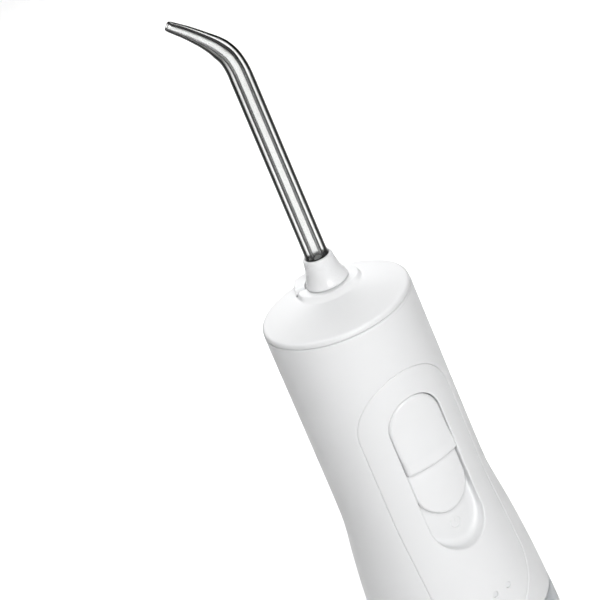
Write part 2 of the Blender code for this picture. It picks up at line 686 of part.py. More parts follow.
def build_top(looks):
    """Cap, nozzle, swivel sleeve, tip latch and the eject button."""
    cluster = pivot("top_cluster", (0, 0, 0), None, CLUSTER_TURN)
    nozzle_centre = (0, NOZZLE_OFFSET, 0)
    plate_low = CAP_TOP - CAP_PLATE
    skirt = INNER_RADIUS - GAP
    skirt_low = SEAM - SKIRT_DEPTH
    groove = skirt - 0.9
    profile = [(0, plate_low), (skirt - SKIRT_WALL, plate_low), (skirt - SKIRT_WALL, skirt_low),
               (skirt, skirt_low), (skirt, skirt_low + 1.5), (groove, skirt_low + 1.5),
               (groove, skirt_low + 3.1), (skirt, skirt_low + 3.1), (skirt, SEAM),
               (BODY_RADIUS - 0.6, SEAM), (BODY_RADIUS - 0.1, SEAM + 0.4), (BODY_RADIUS - 0.1, SEAM + 0.8),
               (BODY_RADIUS - 0.5, SEAM + 1.4), (BODY_RADIUS - 1.3, CAP_TOP), (0, CAP_TOP)]
    cap = turned("top_cap", profile, looks["cap"], BODY_STEPS)
    boss = turned("nozzle_boss", [(0, SEAM + 0.5), (BOSS_RADIUS, SEAM + 0.5),
                                  (BOSS_RADIUS, CAP_TOP), (BOSS_FLAT, CAP_TOP + BOSS_HEIGHT),
                                  (0, CAP_TOP + BOSS_HEIGHT)], None, 32, nozzle_centre)
    weld(cap, boss)
    hole_radius = TUBE_RADIUS + 0.8
    well_floor = CAP_TOP + BUTTON_TOP - BUTTON_HEAD - BUTTON_TRAVEL - GAP
    well = prism("button_well", button_outline(GAP), well_floor, CAP_TOP + 8)
    carve(well, cylinder("well_core", COLLAR_RADIUS + 0.2, SEAM - 1, CAP_TOP + 9, None, 32, nozzle_centre))
    carve(cap, cylinder("nozzle_hole", hole_radius, plate_low - 1, CAP_TOP + 5, None, 24, nozzle_centre),
          well)
    ring("cap_gasket", groove + 0.1, INNER_RADIUS - SEAL_GAP, skirt_low + 1.6, skirt_low + 3.0,
         looks["black_rubber"], BODY_STEPS)

    build_eject(looks, cluster, cap, plate_low)
    collar_base = CAP_TOP + BOSS_HEIGHT + GAP
    axis = pivot("nozzle_axis", nozzle_centre, cluster)
    build_nozzle(looks, axis, collar_base)
    within(cluster, cap, boss, well, *[bpy.data.objects[name] for name in
                                       ("well_core", "nozzle_hole", "cap_gasket")])


def build_eject(looks, cluster, cap, plate_low):
    """Push button behind the nozzle, its spring, and the latch plate its wedge drives."""
    head_low = CAP_TOP + BUTTON_TOP - BUTTON_HEAD
    button = prism("eject_button", button_outline(), head_low, CAP_TOP + BUTTON_TOP, looks["cap"])
    carve(button, cylinder("button_bay", COLLAR_RADIUS + 0.5, head_low - 1, CAP_TOP + 8, None, 32,
                           (0, NOZZLE_OFFSET, 0)))
    latch_low = SEAM - 10.6
    latch_high = latch_low + 1.4
    stem_left, stem_right = -9.0, -6.9
    stem_front, stem_back = BUTTON_FRONT + 0.4, BUTTON_FRONT + 2.2
    stem_low = latch_low + 2.2
    stem_profile = [(stem_front, stem_low), (stem_back - 1.2, stem_low), (stem_back, stem_low + 1.2),
                    (stem_back, head_low + 0.5), (stem_front, head_low + 0.5)]
    stem = prism("button_stem", stem_profile, stem_left, stem_right, None, "X")
    arm = box("button_arm", (-10, NOZZLE_OFFSET - 3.3, plate_low - 3.6), (-6.5, stem_back - 0.2, plate_low - 0.6))
    weld(button, stem, arm)
    stem_hole = box("stem_hole", (stem_left - GAP, stem_front - GAP, plate_low - 1),
                    (stem_right + GAP, stem_back + GAP, CAP_TOP + 2))
    carve(cap, stem_hole)

    spring_place = (-8.3, NOZZLE_OFFSET - 1.7)
    seat = SEAM - 20.2 + GAP
    top = plate_low - 3.6 - GAP
    wire = 0.3
    turns, per_turn = 4, 8
    coil = []
    for k in range(turns * per_turn + 1):
        angle = 2 * math.pi * k / per_turn
        rise = seat + wire + (top - seat - 2 * wire) * k / (turns * per_turn)
        coil.append(Vector((spring_place[0] + 1.3 * math.cos(angle),
                            spring_place[1] + 1.3 * math.sin(angle), rise)))
    spring = wire_curve("eject_spring", coil, wire, looks["steel"])

    plate = cylinder("tip_latch", 6.2, latch_low, latch_high, looks["steel"], 32, (0, NOZZLE_OFFSET, 0))
    bar_front = stem_back + 0.5
    bar_back = stem_back + 1.7
    bar = box("latch_bar", (stem_left, bar_front, latch_low), (0, bar_back, latch_high))
    ramp_profile = [(stem_back - 0.2, latch_low), (bar_back, latch_low), (bar_back, stem_low + 1.6),
                    (stem_back + 1.0, stem_low + 1.6), (stem_back - 0.2, stem_low + 0.4)]
    ramp = prism("latch_ramp", ramp_profile, stem_left, stem_right, None, "X")
    keyhole = prism("latch_keyhole", [(x, y + NOZZLE_OFFSET - 1.95) for x, y in
                                      stadium(TUBE_RADIUS + 0.45, -TUBE_RADIUS - 0.1, TUBE_RADIUS + 2.4)],
                    latch_low - 1, latch_high + 4)
    weld(plate, bar, ramp)
    carve(plate, keyhole)
    within(cluster, button, stem, arm, stem_hole, spring, plate, bar, ramp, keyhole,
           bpy.data.objects["button_bay"])


def wire_curve(name, route, radius, look):
    """Round wire along a route, as a curve with filled ends."""
    curve = bpy.data.curves.new(name, "CURVE")
    curve.dimensions = "3D"
    curve.bevel_depth = radius * MM
    curve.bevel_resolution = 1
    curve.use_fill_caps = True
    spline = curve.splines.new("POLY")
    spline.points.add(len(route) - 1)
    for point, spot in zip(spline.points, route):
        point.co = (*(spot * MM), 1.0)
    curve.materials.append(look)
    thing = bpy.data.objects.new(name, curve)
    bpy.context.collection.objects.link(thing)
    return thing


def build_nozzle(looks, axis, collar_base):
    """Clear bent tube with its white collar, plugged into a swivelling sleeve."""
    manifold_high = SEAM - 20.2
    shank_low = collar_base - SHANK_DEPTH
    ring_low = shank_low + 1.7
    latch_low = collar_base - LATCH_DEPTH
    thin = TUBE_RADIUS - GROOVE
    shank = [(shank_low, TUBE_RADIUS), (ring_low, TUBE_RADIUS), (ring_low, thin),
             (ring_low + 1.6, thin), (ring_low + 1.6, TUBE_RADIUS), (latch_low, TUBE_RADIUS),
             (latch_low, thin), (latch_low + 2.2, thin), (latch_low + 2.2, TUBE_RADIUS)]
    bend = [(0, 40), (0, TUBE_STRAIGHT), (1.0, TUBE_STRAIGHT + 4.5), (2.8, TUBE_STRAIGHT + 7.9),
            (5.0, TUBE_STRAIGHT + 11.1), (9.0, TUBE_STRAIGHT + 15.7), (13.5, TUBE_STRAIGHT + 19.7)]
    upper = smooth_route([(-x, 0, collar_base + z) for x, z in bend], 2)
    route = [Vector((0, 0, z)) for z, _ in shank] + upper
    slim = TUBE_RADIUS - 0.44
    radii = [radius for _, radius in shank]
    for spot in upper:
        reach = -spot.x
        if reach < 2.8:
            radii.append(TUBE_RADIUS + (slim - TUBE_RADIUS) * reach / 2.8)
        else:
            radii.append(slim + (TIP_RADIUS - slim) * (reach - 2.8) / (bend[-1][0] - 2.8))
    bores = [min(TUBE_BORE, radius - 0.45) for radius in radii]
    tube = pipe("nozzle_tube", route, radii, bores, looks["clear"], 14)

    hole = TUBE_RADIUS + 0.2
    shape = [(6.4, 0), (6.2, 1.1), (5.4, 3.5), (5.0, 5.5), (4.6, 6.8), (4.45, COLLAR_HEIGHT)]
    profile = [(hole, collar_base)]
    profile += [(r - 6.4 + COLLAR_RADIUS, collar_base + z) for r, z in shape]
    profile += [(hole, collar_base + COLLAR_HEIGHT)]
    collar = turned("nozzle_collar", profile, looks["collar"], 24)
    sleeve_bore = TUBE_RADIUS + 0.33
    o_ring = ring("nozzle_o_ring", thin + 0.1, sleeve_bore - SEAL_GAP, ring_low + 0.2, ring_low + 1.4,
                  looks["black_rubber"], 16)

    sleeve_low = manifold_high + GAP
    cup_high = manifold_high + 7.6
    sleeve_out = sleeve_bore + 1.3
    seal_low = sleeve_low + 3.0
    sleeve = turned("swivel_sleeve", [(0.9, sleeve_low), (sleeve_out, sleeve_low), (sleeve_out, seal_low),
                                      (sleeve_out - 0.8, seal_low), (sleeve_out - 0.8, seal_low + 1.6),
                                      (sleeve_out, seal_low + 1.6), (sleeve_out, cup_high + GAP),
                                      (6.3, cup_high + GAP), (6.3, cup_high + 1.3),
                                      (sleeve_bore, cup_high + 1.3), (sleeve_bore, shank_low - GAP),
                                      (0.9, shank_low - GAP)], looks["frame"], 20)
    cup_bore = sleeve_out + 0.3
    seal = ring("swivel_o_ring", sleeve_out - 0.7, cup_bore - SEAL_GAP, seal_low + 0.15, seal_low + 1.45,
                looks["black_rubber"], 24)
    bend_turn = pivot("bend_turn", (0, 0, 0), axis, math.radians(2.5))
    within(bend_turn, tube)
    within(axis, collar, o_ring, sleeve, seal)

    disc_low = manifold_high - 2.0
    manifold = cylinder("upper_manifold", INNER_RADIUS - GAP, disc_low, manifold_high, looks["frame"], 32)
    place = (*nozzle_place(), 0)
    cup = ring("manifold_cup", cup_bore, 6.5, manifold_high - 0.5, cup_high, None, 24, place)
    barb = cylinder("manifold_barb", 0.9, disc_low - 3.6, disc_low + 0.5, None, 12, place)
    passage = cylinder("manifold_passage", 0.5, disc_low - 5, manifold_high + 1, None, 8, place)
    weld(manifold, cup, barb)
    carve(manifold, passage)


def build_bulkhead(looks):
    """Floor of the handle, with the skirt and seal that close the tank."""
    neck = outer_radius(SPLIT) - TANK_WALL - GAP
    disc = outer_radius(BULKHEAD_TOP) - HOUSING_WALL - GAP
    low = SPLIT - 5.5
    groove = neck - 1.1
    turned("bulkhead", [(0, BULKHEAD_LOW), (neck - 2.2, BULKHEAD_LOW), (neck - 2.2, low), (neck, low),
                        (neck, low + 1.4), (groove, low + 1.4), (groove, low + 3.2), (neck, low + 3.2),
                        (neck, HANDLE_LOW), (disc, BULKHEAD_LOW + 0.8), (disc, BULKHEAD_TOP),
                        (0, BULKHEAD_TOP)], looks["frame"], BODY_STEPS)
    pump_y = MOTOR_Y - MESH_OFFSET - YOKE_OFFSET
    spot = (MOTOR_X, pump_y, 0)
    bulkhead = bpy.data.objects["bulkhead"]
    weld(bulkhead, cylinder("suction_barb", 1.1, BULKHEAD_LOW - 8, BULKHEAD_LOW + 0.5, None, 12, spot))
    carve(bulkhead, cylinder("suction_passage", 0.6, BULKHEAD_LOW - 9, BULKHEAD_TOP + 1, None, 8, spot))
    ring("tank_seal", groove + 0.1, neck + GAP - SEAL_GAP, low + 1.6, low + 3.0,
         looks["black_rubber"], BODY_STEPS)
    filter_low = FOOT_THICKNESS + TANK_FLOOR + 1.3
    tube_low = filter_low + 4
    tube_high = BULKHEAD_LOW - 4
    pipe("suction_tube", [Vector((MOTOR_X, pump_y, tube_low + (tube_high - tube_low) * k / 4))
                          for k in range(5)], [2.4] * 5, [1.5] * 5, looks["hose"], 12)
    turned("suction_filter", [(0, filter_low), (FILTER_RADIUS, filter_low),
                              (FILTER_RADIUS, filter_low + 8), (2.7, filter_low + 8),
                              (2.7, tube_low - GAP), (0, tube_low - GAP)], looks["dark_steel"], 20, spot)


def build_tank(looks):
    """Water tank with its foot, and a hinged lid over the fill opening at the back."""
    floor = FOOT_THICKNESS + GAP + TANK_FLOOR
    levels = shell_levels(8.0, SPLIT - 0.4)
    outer = [(outer_radius(0) - 3.2, 1.0), (outer_radius(0) - 1.2, 1.8), (outer_radius(3.6) - 0.1, 3.8)]
    outer += [(outer_radius(z), z) for z in levels] + [(outer_radius(SPLIT) - 0.4, SPLIT)]
    inner = [(outer_radius(SPLIT) - TANK_WALL, SPLIT)]
    inner += [(outer_radius(z) - TANK_WALL, z) for z in reversed(levels)]
    inner += [(outer_radius(0) - TANK_WALL - 2.5, floor), (0, floor), (0, FOOT_THICKNESS + GAP),
              (FOOT_RADIUS + GAP, FOOT_THICKNESS + GAP), (FOOT_RADIUS + GAP, 1.0)]
    tank = turned("water_tank", outer + inner, looks["tank"], BODY_STEPS)
    cylinder("base_foot", FOOT_RADIUS, 0, FOOT_THICKNESS, looks["grey_rubber"], 32)

    lid_z = SPLIT - LID_BELOW_SPLIT
    radius = outer_radius(lid_z)
    axis_y = radius + 0.9
    axis_z = lid_z + LID_HEIGHT / 2 + 0.6
    carve(tank, pocket_tool("lid_pocket", LID_WIDTH, LID_HEIGHT, lid_z, LID_THICKNESS),
          prism("fill_hole", rounded(PLUG_WIDTH + 2, PLUG_HEIGHT + 2.6, 2.6, (0, lid_z - 0.2)),
                radius - 6, radius + 4, None, "Y"),
          rod("knuckle_notch", 1.9, -4, 4, "X", axis_y, axis_z))
    ears = []
    for number, side in ((1, -1), (2, 1)):
        near, far = sorted((4.3 * side, 7.0 * side))
        ears.append(rod(f"ear_{number}", 1.2, near, far, "X", axis_y, axis_z))
        ears.append(box(f"ear_block_{number}", (near, radius - 2, axis_z + 0.1),
                        (far, axis_y, axis_z + 1.15)))
    weld(tank, *ears)
    carve(tank, rod("ear_bore", 0.85, -8, 8, "X", axis_y, axis_z))

    lid = inlay("fill_lid", LID_WIDTH, LID_HEIGHT, lid_z, LID_THICKNESS, looks["lid"])
    plug_low = radius - LID_THICKNESS - 3.4
    plug = prism("lid_plug", rounded(PLUG_WIDTH, PLUG_HEIGHT, 1.8, (0, lid_z)),
                 plug_low, radius - 1.0, None, "Y")
    knuckle = rod("lid_knuckle", 1.5, -3.7, 3.7, "X", axis_y, axis_z)
    weld(lid, plug, knuckle)
    carve(lid, rod("knuckle_bore", 0.9, -5, 5, "X", axis_y, axis_z))
    seal = prism("lid_seal", rounded(PLUG_WIDTH + 1.4, PLUG_HEIGHT + 1.4, 2.3, (0, lid_z)),
                 plug_low + 0.6, plug_low + 1.8, looks["black_rubber"], "Y")
    carve(seal, prism("seal_inside", rounded(PLUG_WIDTH + 0.3, PLUG_HEIGHT + 0.3, 1.9, (0, lid_z)),
                      plug_low, plug_low + 3, None, "Y"))
    hang(pivot("lid_hinge", (0, axis_y, axis_z)), lid, seal)
    rod("lid_hinge_pin", 0.6, -6.9, 6.9, "X", axis_y, axis_z, looks["steel"], 12)


def main():
    clear_scene()
    looks = {
        "housing": make_material("housing_white", (0.86, 0.86, 0.86), 0.42),
        "cap": make_material("cap_white", (0.84, 0.84, 0.84), 0.45),
        "collar": make_material("collar_white", (0.88, 0.88, 0.88), 0.3),
        "panel": make_material("panel_white", (0.86, 0.86, 0.86), 0.38),
        "switch": make_material("switch_white", (0.87, 0.87, 0.87), 0.3),
        "tank": make_material("tank_frosted", (0.8, 0.84, 0.87), 0.3),
        "lid": make_material("lid_white", (0.84, 0.84, 0.85), 0.4),
        "clear": make_material("clear_plastic", (0.9, 0.92, 0.93), 0.05),
        "lens": make_material("lens_clear", (0.75, 0.85, 0.95), 0.15),
        "frame": make_material("frame_grey", (0.55, 0.57, 0.6), 0.5),
        "gear": make_material("gear_nylon", (0.82, 0.8, 0.72), 0.45),
        "hose": make_material("hose_silicone", (0.78, 0.78, 0.76), 0.35),
        "cell": make_material("cell_wrap", (0.1, 0.25, 0.55), 0.4),
        "board": make_material("board_green", (0.05, 0.3, 0.12), 0.5),
        "black": make_material("black_plastic", (0.03, 0.03, 0.03), 0.5),
        "black_rubber": make_material("black_rubber", (0.03, 0.03, 0.03), 0.8),
        "grey_rubber": make_material("grey_rubber", (0.68, 0.69, 0.7), 0.7),
        "steel": make_material("steel", (0.7, 0.71, 0.72), 0.3, 1.0),
        "dark_steel": make_material("dark_steel", (0.45, 0.46, 0.48), 0.35, 1.0),
        "brass": make_material("brass", (0.78, 0.62, 0.3), 0.3, 1.0),
    }
    housing = build_housing(looks)
    carve(housing, *build_electronics(looks))
    build_bulkhead(looks)
    build_drive(looks)
    build_top(looks)
    build_tank(looks)


main()
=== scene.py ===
# %% [markdown]
# # A cordless water flosser
# We dress a packed, jointed model of a hand-held water flosser for a studio picture. The moving parts and all
# sizes are settled already, so every new surface here is laid on the same frame and only makes it look real.
# We begin by loading that frame and noting the box it fills.

# %% Load the frame
import json
import math

import bmesh
import bpy
import numpy as np
from mathutils import Matrix, Vector


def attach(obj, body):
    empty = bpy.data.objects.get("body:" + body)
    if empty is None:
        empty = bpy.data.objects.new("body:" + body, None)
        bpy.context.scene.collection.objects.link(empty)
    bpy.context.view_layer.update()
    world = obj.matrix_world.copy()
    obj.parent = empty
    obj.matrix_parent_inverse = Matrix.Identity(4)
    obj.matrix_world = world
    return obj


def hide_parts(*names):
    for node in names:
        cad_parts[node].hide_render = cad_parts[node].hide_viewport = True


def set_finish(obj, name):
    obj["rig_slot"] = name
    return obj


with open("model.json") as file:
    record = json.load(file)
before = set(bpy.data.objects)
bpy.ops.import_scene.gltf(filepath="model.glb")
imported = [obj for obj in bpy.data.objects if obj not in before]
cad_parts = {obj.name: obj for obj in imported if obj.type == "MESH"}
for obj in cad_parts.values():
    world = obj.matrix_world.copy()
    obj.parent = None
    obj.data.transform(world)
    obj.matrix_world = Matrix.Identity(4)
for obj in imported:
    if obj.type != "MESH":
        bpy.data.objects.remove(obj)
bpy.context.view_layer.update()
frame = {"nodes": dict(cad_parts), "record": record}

# %% [markdown]
# Moulded parts are smooth surfaces, and a smooth surface is easiest to make as a grid: rows along one direction,
# columns along the other. One helper joins grids into a closed mesh, merges the points that meet, and turns all
# faces outwards. All shapes below are worked out in millimetres.

# %% Grids of points become pieces
MM = 0.001


def grid_faces(rows, columns, close_rows, close_columns):
    """Quads of a grid: (i, j) joins (i, j+1), (i+1, j+1) and (i+1, j). An index wraps where the grid is closed."""
    i = np.arange(rows if close_rows else rows - 1)[:, None]
    j = np.arange(columns if close_columns else columns - 1)[None, :]
    below, beside = (i + 1) % rows, (j + 1) % columns
    corners = (i * columns + j, i * columns + beside, below * columns + beside, below * columns + j)
    return np.stack(corners, -1).reshape(-1, 4)


def settle(name, mesh, body, nodes, slot):
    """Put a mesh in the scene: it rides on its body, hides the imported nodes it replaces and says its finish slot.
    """
    made = bpy.data.objects.new(name, mesh)
    bpy.context.scene.collection.objects.link(made)
    if body:
        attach(made, body)
    if nodes:
        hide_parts(*nodes)
    if slot:
        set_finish(made, slot)
    return made


def piece(name, grids, body, nodes=(), slot=None, crease=32.0):
    """One object on a body, from grids that are each (points[rows, columns, 3] in mm, close_rows, close_columns)."""
    points, faces, start = [], [], 0
    for grid, close_rows, close_columns in grids:
        rows, columns = grid.shape[:2]
        points.append(grid.reshape(-1, 3))
        faces.append(grid_faces(rows, columns, close_rows, close_columns) + start)
        start += rows * columns
    mesh = bpy.data.meshes.new(name)
    mesh.from_pydata((np.concatenate(points) * MM).tolist(), [], np.concatenate(faces).tolist())
    work = bmesh.new()
    work.from_mesh(mesh)
    bmesh.ops.remove_doubles(work, verts=work.verts, dist=2e-6)
    bmesh.ops.dissolve_degenerate(work, edges=work.edges, dist=1e-7)
    bmesh.ops.recalc_face_normals(work, faces=work.faces)
    open_edges = sum(1 for edge in work.edges if len(edge.link_faces) != 2)
    work.to_mesh(mesh)
    work.free()
    made = settle(name, mesh, body, nodes, slot)
    smooth(made, crease)
    print(name, len(mesh.polygons), "faces, open edges:", open_edges)
    return made


def smooth(made, crease=32.0):
    """Shade a mesh smoothly, but keep edges that bend more than the crease angle sharp."""
    made.data.polygons.foreach_set("use_smooth", np.ones(len(made.data.polygons), bool))
    made.data.set_sharp_from_angle(angle=math.radians(crease))


# %% [markdown]
# The handle is a cylinder that flares softly towards the tank. All the parts that lie flush in it, such as the
# control panel, follow the same curve, so its radius is one function of height.

# %% The body's curve
BODY_RADIUS, FLARE_START, FLARE_BLEND, FLARE_GAIN, FLARE_LENGTH = 22.5, 126.0, 4.0, 5.7, 31.0
HOUSING_WALL = 2.6
HANDLE_LOW, HANDLE_TOP = 84.4, 191.7


def body_radius(z):
    """Straight above the flare's start; below it, a gain that grows as 1 - exp(-run / length) with a soft start."""
    below = FLARE_START - np.asarray(z, float)
    run = (np.hypot(below, FLARE_BLEND) + below) / 2
    return BODY_RADIUS + FLARE_GAIN * (1 - np.exp(-run / FLARE_LENGTH))


def wrap(x, z, radius, back=False):
    """Point with side offset x and height z on the upright cylinder of that radius, on the front or on the back."""
    depth = np.sqrt(np.maximum(radius**2 - x**2, 0))
    side = -1.0 if back else 1.0
    return np.stack(np.broadcast_arrays(side * x, -side * depth, z), -1)


print("radius at the cap, panel foot and tank:", body_radius(np.array([190.0, 88.0, 84.0])).round(2))

# %% [markdown]
# Openings in the handle are stadiums (a slot with round ends) or rounded boxes. An outline here is sampled in
# four runs, low end, right side, high end and left side, so that any two outlines match point for point and a
# surface can be blended between them. Each point also has its outward direction, to step inwards or outwards.

# %% Outlines that match point for point
ARC, SIDE = 64, 56
arc_turn = np.arange(ARC) / ARC * math.pi
side_share = np.arange(SIDE) / SIDE


def stadium(half, low, high):
    """Slot outline (x, z, outward x, outward z): half circles of radius half, joined by straight sides."""
    a, b = low + half, high - half
    ones = np.ones(SIDE)
    nx = np.concatenate([-np.cos(arc_turn), ones, np.cos(arc_turn), -ones])
    nz = np.concatenate([-np.sin(arc_turn), 0 * ones, np.sin(arc_turn), 0 * ones])
    core = np.concatenate([a + 0 * arc_turn, a + (b - a) * side_share, b + 0 * arc_turn, b - (b - a) * side_share])
    return half * nx, core + half * nz, nx, nz


def rounded_box(half_x, half_z, centre_z, corner):
    """Rectangle outline with round corners. Each run holds half a corner, the straight and half a corner."""
    runs = []
    for count, facing in ((ARC, -90.0), (SIDE, 0.0), (ARC, 90.0), (SIDE, 180.0)):
        t = np.arange(count) / count
        turn = np.radians(facing + 45 * np.clip((t - 0.75) / 0.25, 0, 1) - 45 * np.clip((0.25 - t) / 0.25, 0, 1))
        slide = np.clip((t - 0.25) / 0.5, 0, 1) * 2 - 1
        across = math.radians(facing)
        reach_x, reach_z = half_x - corner, half_z - corner
        x = np.cos(across) * reach_x - np.sin(across) * slide * reach_x + corner * np.cos(turn)
        z = np.sin(across) * reach_z + np.cos(across) * slide * reach_z + corner * np.sin(turn)
        runs.append((x, z + centre_z, np.cos(turn), np.sin(turn)))
    return tuple(np.concatenate(part) for part in zip(*runs))


def inset(outline, distance):
    """The outline moved inwards by a distance, which may differ from point to point."""
    x, z, nx, nz = outline
    return x - nx * distance, z - nz * distance


def patch_edge(low, high):
    """Edge of a half body in (turn, z): low edge, right side, top edge and left side, matching the outlines' runs."""
    quarter = math.pi / 2
    flat, rise = 0 * arc_turn, (high - low) * side_share
    turn = np.concatenate([arc_turn - quarter, quarter + 0 * rise, quarter - arc_turn, -quarter + 0 * rise])
    z = np.concatenate([low + flat, low + rise, high + flat, high - rise])
    return turn, z


def on_body(x, z, lift=0.0, back=False):
    """Points at a lift above the body's surface."""
    return wrap(x, z, body_radius(z) + lift, back)


def out_to_edge(x, z, edge, rows, back=False):
    """Rows of the body's surface from an outline (x, z) out to a patch edge, blended evenly in turn and height."""
    turn = np.arcsin(x / body_radius(z))
    share = np.linspace(0, 1, rows)[1:, None]
    turn = (1 - share) * turn + share * edge[0]
    z = (1 - share) * z + share * edge[1]
    side, radius = -1.0 if back else 1.0, body_radius(z)
    return np.stack([side * radius * np.sin(turn), -side * radius * np.cos(turn), z], -1)


ROUND_STEPS = np.radians([0, 22.5, 45, 67.5, 90])


def edge_rows(outline, radius, lift=0.0, back=False):
    """A rounded edge: inset by radius * (1 - cos t), at lift - |radius| * (1 - sin t). Below 0 it opens out."""
    return [on_body(*inset(outline, radius * (1 - math.cos(t))), lift - abs(radius) * (1 - math.sin(t)), back)
            for t in ROUND_STEPS]


print("points in each outline:", 2 * (ARC + SIDE))

# %% [markdown]
# ## Handle shell
# The shell is one moulding. Its front has a shallow oval pocket for the control panel, and inside that a deeper
# slot for the slide switch, whose floor sweeps up at its lower end. We build the front from the slot's centre
# line outwards: floor, fillet, slot wall, pocket floor, pocket wall, a small round on the edge that catches the
# light, and the surface itself. The back is made the same way round the charging pocket.

# %% Handle shell, front and back
PANEL_HALF, PANEL_LOW, PANEL_HIGH, PANEL_THICK, PANEL_GAP = 16.3, 88.0, 175.0, 1.0, 0.03
SLOT_HALF, SLOT_LOW, SLOT_HIGH, SLOT_FLOOR = 9.0, 115.6, 166.7, 19.2
SIDE_FILLET, END_FILLET = 0.8, 2.2
EDGE_ROUND, POCKET_DEPTH = 0.32, PANEL_THICK + 0.05
PORT_Z, FLAP_Z, PORT_DEPTH, FLAP_POCKET = 96.0, 95.75, 2.2, 1.35


def slot_rows():
    """Centre line, floor, and a quarter-round fillet whose radius grows towards the slot's low end."""
    outline = stadium(SLOT_HALF, SLOT_LOW, SLOT_HIGH)
    lowness = np.clip((SLOT_LOW + SLOT_HALF - outline[1]) / SLOT_HALF, 0, 1)
    fillet = SIDE_FILLET + (END_FILLET - SIDE_FILLET) * lowness**1.5
    rows = [wrap(*inset(outline, SLOT_HALF * (1 - s) + fillet * s), SLOT_FLOOR) for s in np.linspace(0, 1, 12)]
    room = body_radius(outline[1]) - POCKET_DEPTH - SLOT_FLOOR
    rise = np.minimum(fillet, room)
    for t in np.linspace(0, math.pi / 2, 9)[1:]:
        rows.append(wrap(*inset(outline, fillet * (1 - math.sin(t))), SLOT_FLOOR + rise * (1 - math.cos(t))))
    rows.append(wrap(*inset(outline, 0), SLOT_FLOOR + room))
    return rows


def front_patch(low, high):
    """The whole front half, from the slot's centre line to the patch's edge."""
    pocket = stadium(PANEL_HALF + PANEL_GAP, PANEL_LOW - PANEL_GAP, PANEL_HIGH + PANEL_GAP)
    rows = slot_rows() + [on_body(*inset(pocket, 0), -POCKET_DEPTH)] + edge_rows(pocket, -EDGE_ROUND)
    x, z = inset(pocket, -EDGE_ROUND)
    return np.concatenate([np.stack(rows), out_to_edge(x, z, patch_edge(low, high), 26)])


def back_patch(low, high):
    """The back half round the charging pocket, whose floor has a deeper hole for the socket."""
    hole, pocket = rounded_box(4.9, 2.1, PORT_Z, 1.6), rounded_box(7.75, 5.05, FLAP_Z, 1.9)
    deep = body_radius(PORT_Z) - PORT_DEPTH
    rows = [wrap(hole[0] * s, PORT_Z + (hole[1] - PORT_Z) * s, deep, True) for s in (0.0, 0.5, 1.0)]
    rows += [on_body(*inset(line, 0), -FLAP_POCKET, True) for line in (hole, pocket)]
    rows += edge_rows(pocket, -EDGE_ROUND, 0.0, True)
    x, z = inset(pocket, -EDGE_ROUND)
    return np.concatenate([np.stack(rows), out_to_edge(x, z, patch_edge(low, high), 34, True)])


RIM_LOW, RIM_TOP = HANDLE_LOW + 0.35, HANDLE_TOP - 0.42
front, back = front_patch(RIM_LOW, RIM_TOP), back_patch(RIM_LOW, RIM_TOP)
print("front rows:", front.shape, "back rows:", back.shape)

# %% [markdown]
# The two halves share their edges with a ring of points, so the rims and the inner wall can be turned profiles
# that start and end on that ring. The inner wall steps in behind the slot, as a moulder would have it.

# %% Handle shell, rims and inner wall
PAD_REACH, PAD_SOFT, PAD_DEPTH = 2.2, 1.4, 2.4
ring_turn = -math.pi / 2 + np.arange(2 * ARC) * math.pi / ARC


def ring_rows(profile, dent=None):
    """Rings of points about the upright axis for a profile of (radius, z), starting at the body's right side."""
    radius, z = (np.array(column, float)[:, None] for column in zip(*profile))
    radius = radius + 0 * ring_turn
    if dent is not None:
        radius = radius - dent(radius * np.sin(ring_turn), z, np.cos(ring_turn) > 0)
    return np.stack([radius * np.sin(ring_turn), -radius * np.cos(ring_turn), z + 0 * radius], -1)


def slot_pad(x, z, on_front):
    """The inner wall steps in behind the switch slot, so that the slot's floor has a wall too."""
    straight = (SLOT_HIGH - SLOT_LOW) / 2 - SLOT_HALF
    past = np.hypot(x, np.maximum(np.abs(z - (SLOT_HIGH + SLOT_LOW) / 2) - straight, 0)) - SLOT_HALF
    share = np.clip((PAD_REACH - past) / PAD_SOFT, 0, 1)
    return PAD_DEPTH * share**2 * (3 - 2 * share) * on_front


top_r, low_r = BODY_RADIUS, float(body_radius(HANDLE_LOW))
inner_z = np.linspace(HANDLE_TOP - 0.4, HANDLE_LOW + 0.3, 56)
rim = [(float(body_radius(RIM_TOP)), RIM_TOP), (top_r - 0.08, RIM_TOP + 0.2), (top_r - 0.24, RIM_TOP + 0.34),
       (top_r - 0.45, HANDLE_TOP), (top_r - HOUSING_WALL + 0.3, HANDLE_TOP)]
rim += [(float(body_radius(z)) - HOUSING_WALL, z) for z in inner_z]
rim += [(low_r - HOUSING_WALL + 0.3, HANDLE_LOW), (low_r - 0.3, HANDLE_LOW), (low_r - 0.1, HANDLE_LOW + 0.1),
        (float(body_radius(RIM_LOW)), RIM_LOW)]
shell_grids = [(front, False, True), (back, False, True), (ring_rows(rim, slot_pad), False, True)]
housing = piece("housing_surface", shell_grids, "handle", ["housing_shell"], "housing")

# %% [markdown]
# ## Control panel
# The panel is a thin oval plate, glued flush into the pocket. Its outer edge has a tiny round, and the slot's
# edge a larger one. Its section is a closed loop: up the slot's wall, over the round, across the face, down the
# outer edge and back underneath. The holes for the mode button and the lights are cut through it afterwards.

# %% Control panel
SLOT_ROUND, PANEL_ROUND = 0.5, 0.22
inner_line, outer_line = stadium(SLOT_HALF, SLOT_LOW, SLOT_HIGH), stadium(PANEL_HALF, PANEL_LOW, PANEL_HIGH)


def across_panel(share, lift):
    """A row between the slot's edge and the panel's edge, at a lift above the body's surface."""
    (x0, z0), (x1, z1) = inset(inner_line, -SLOT_ROUND), inset(outer_line, PANEL_ROUND)
    return on_body((1 - share) * x0 + share * x1, (1 - share) * z0 + share * z1, lift)


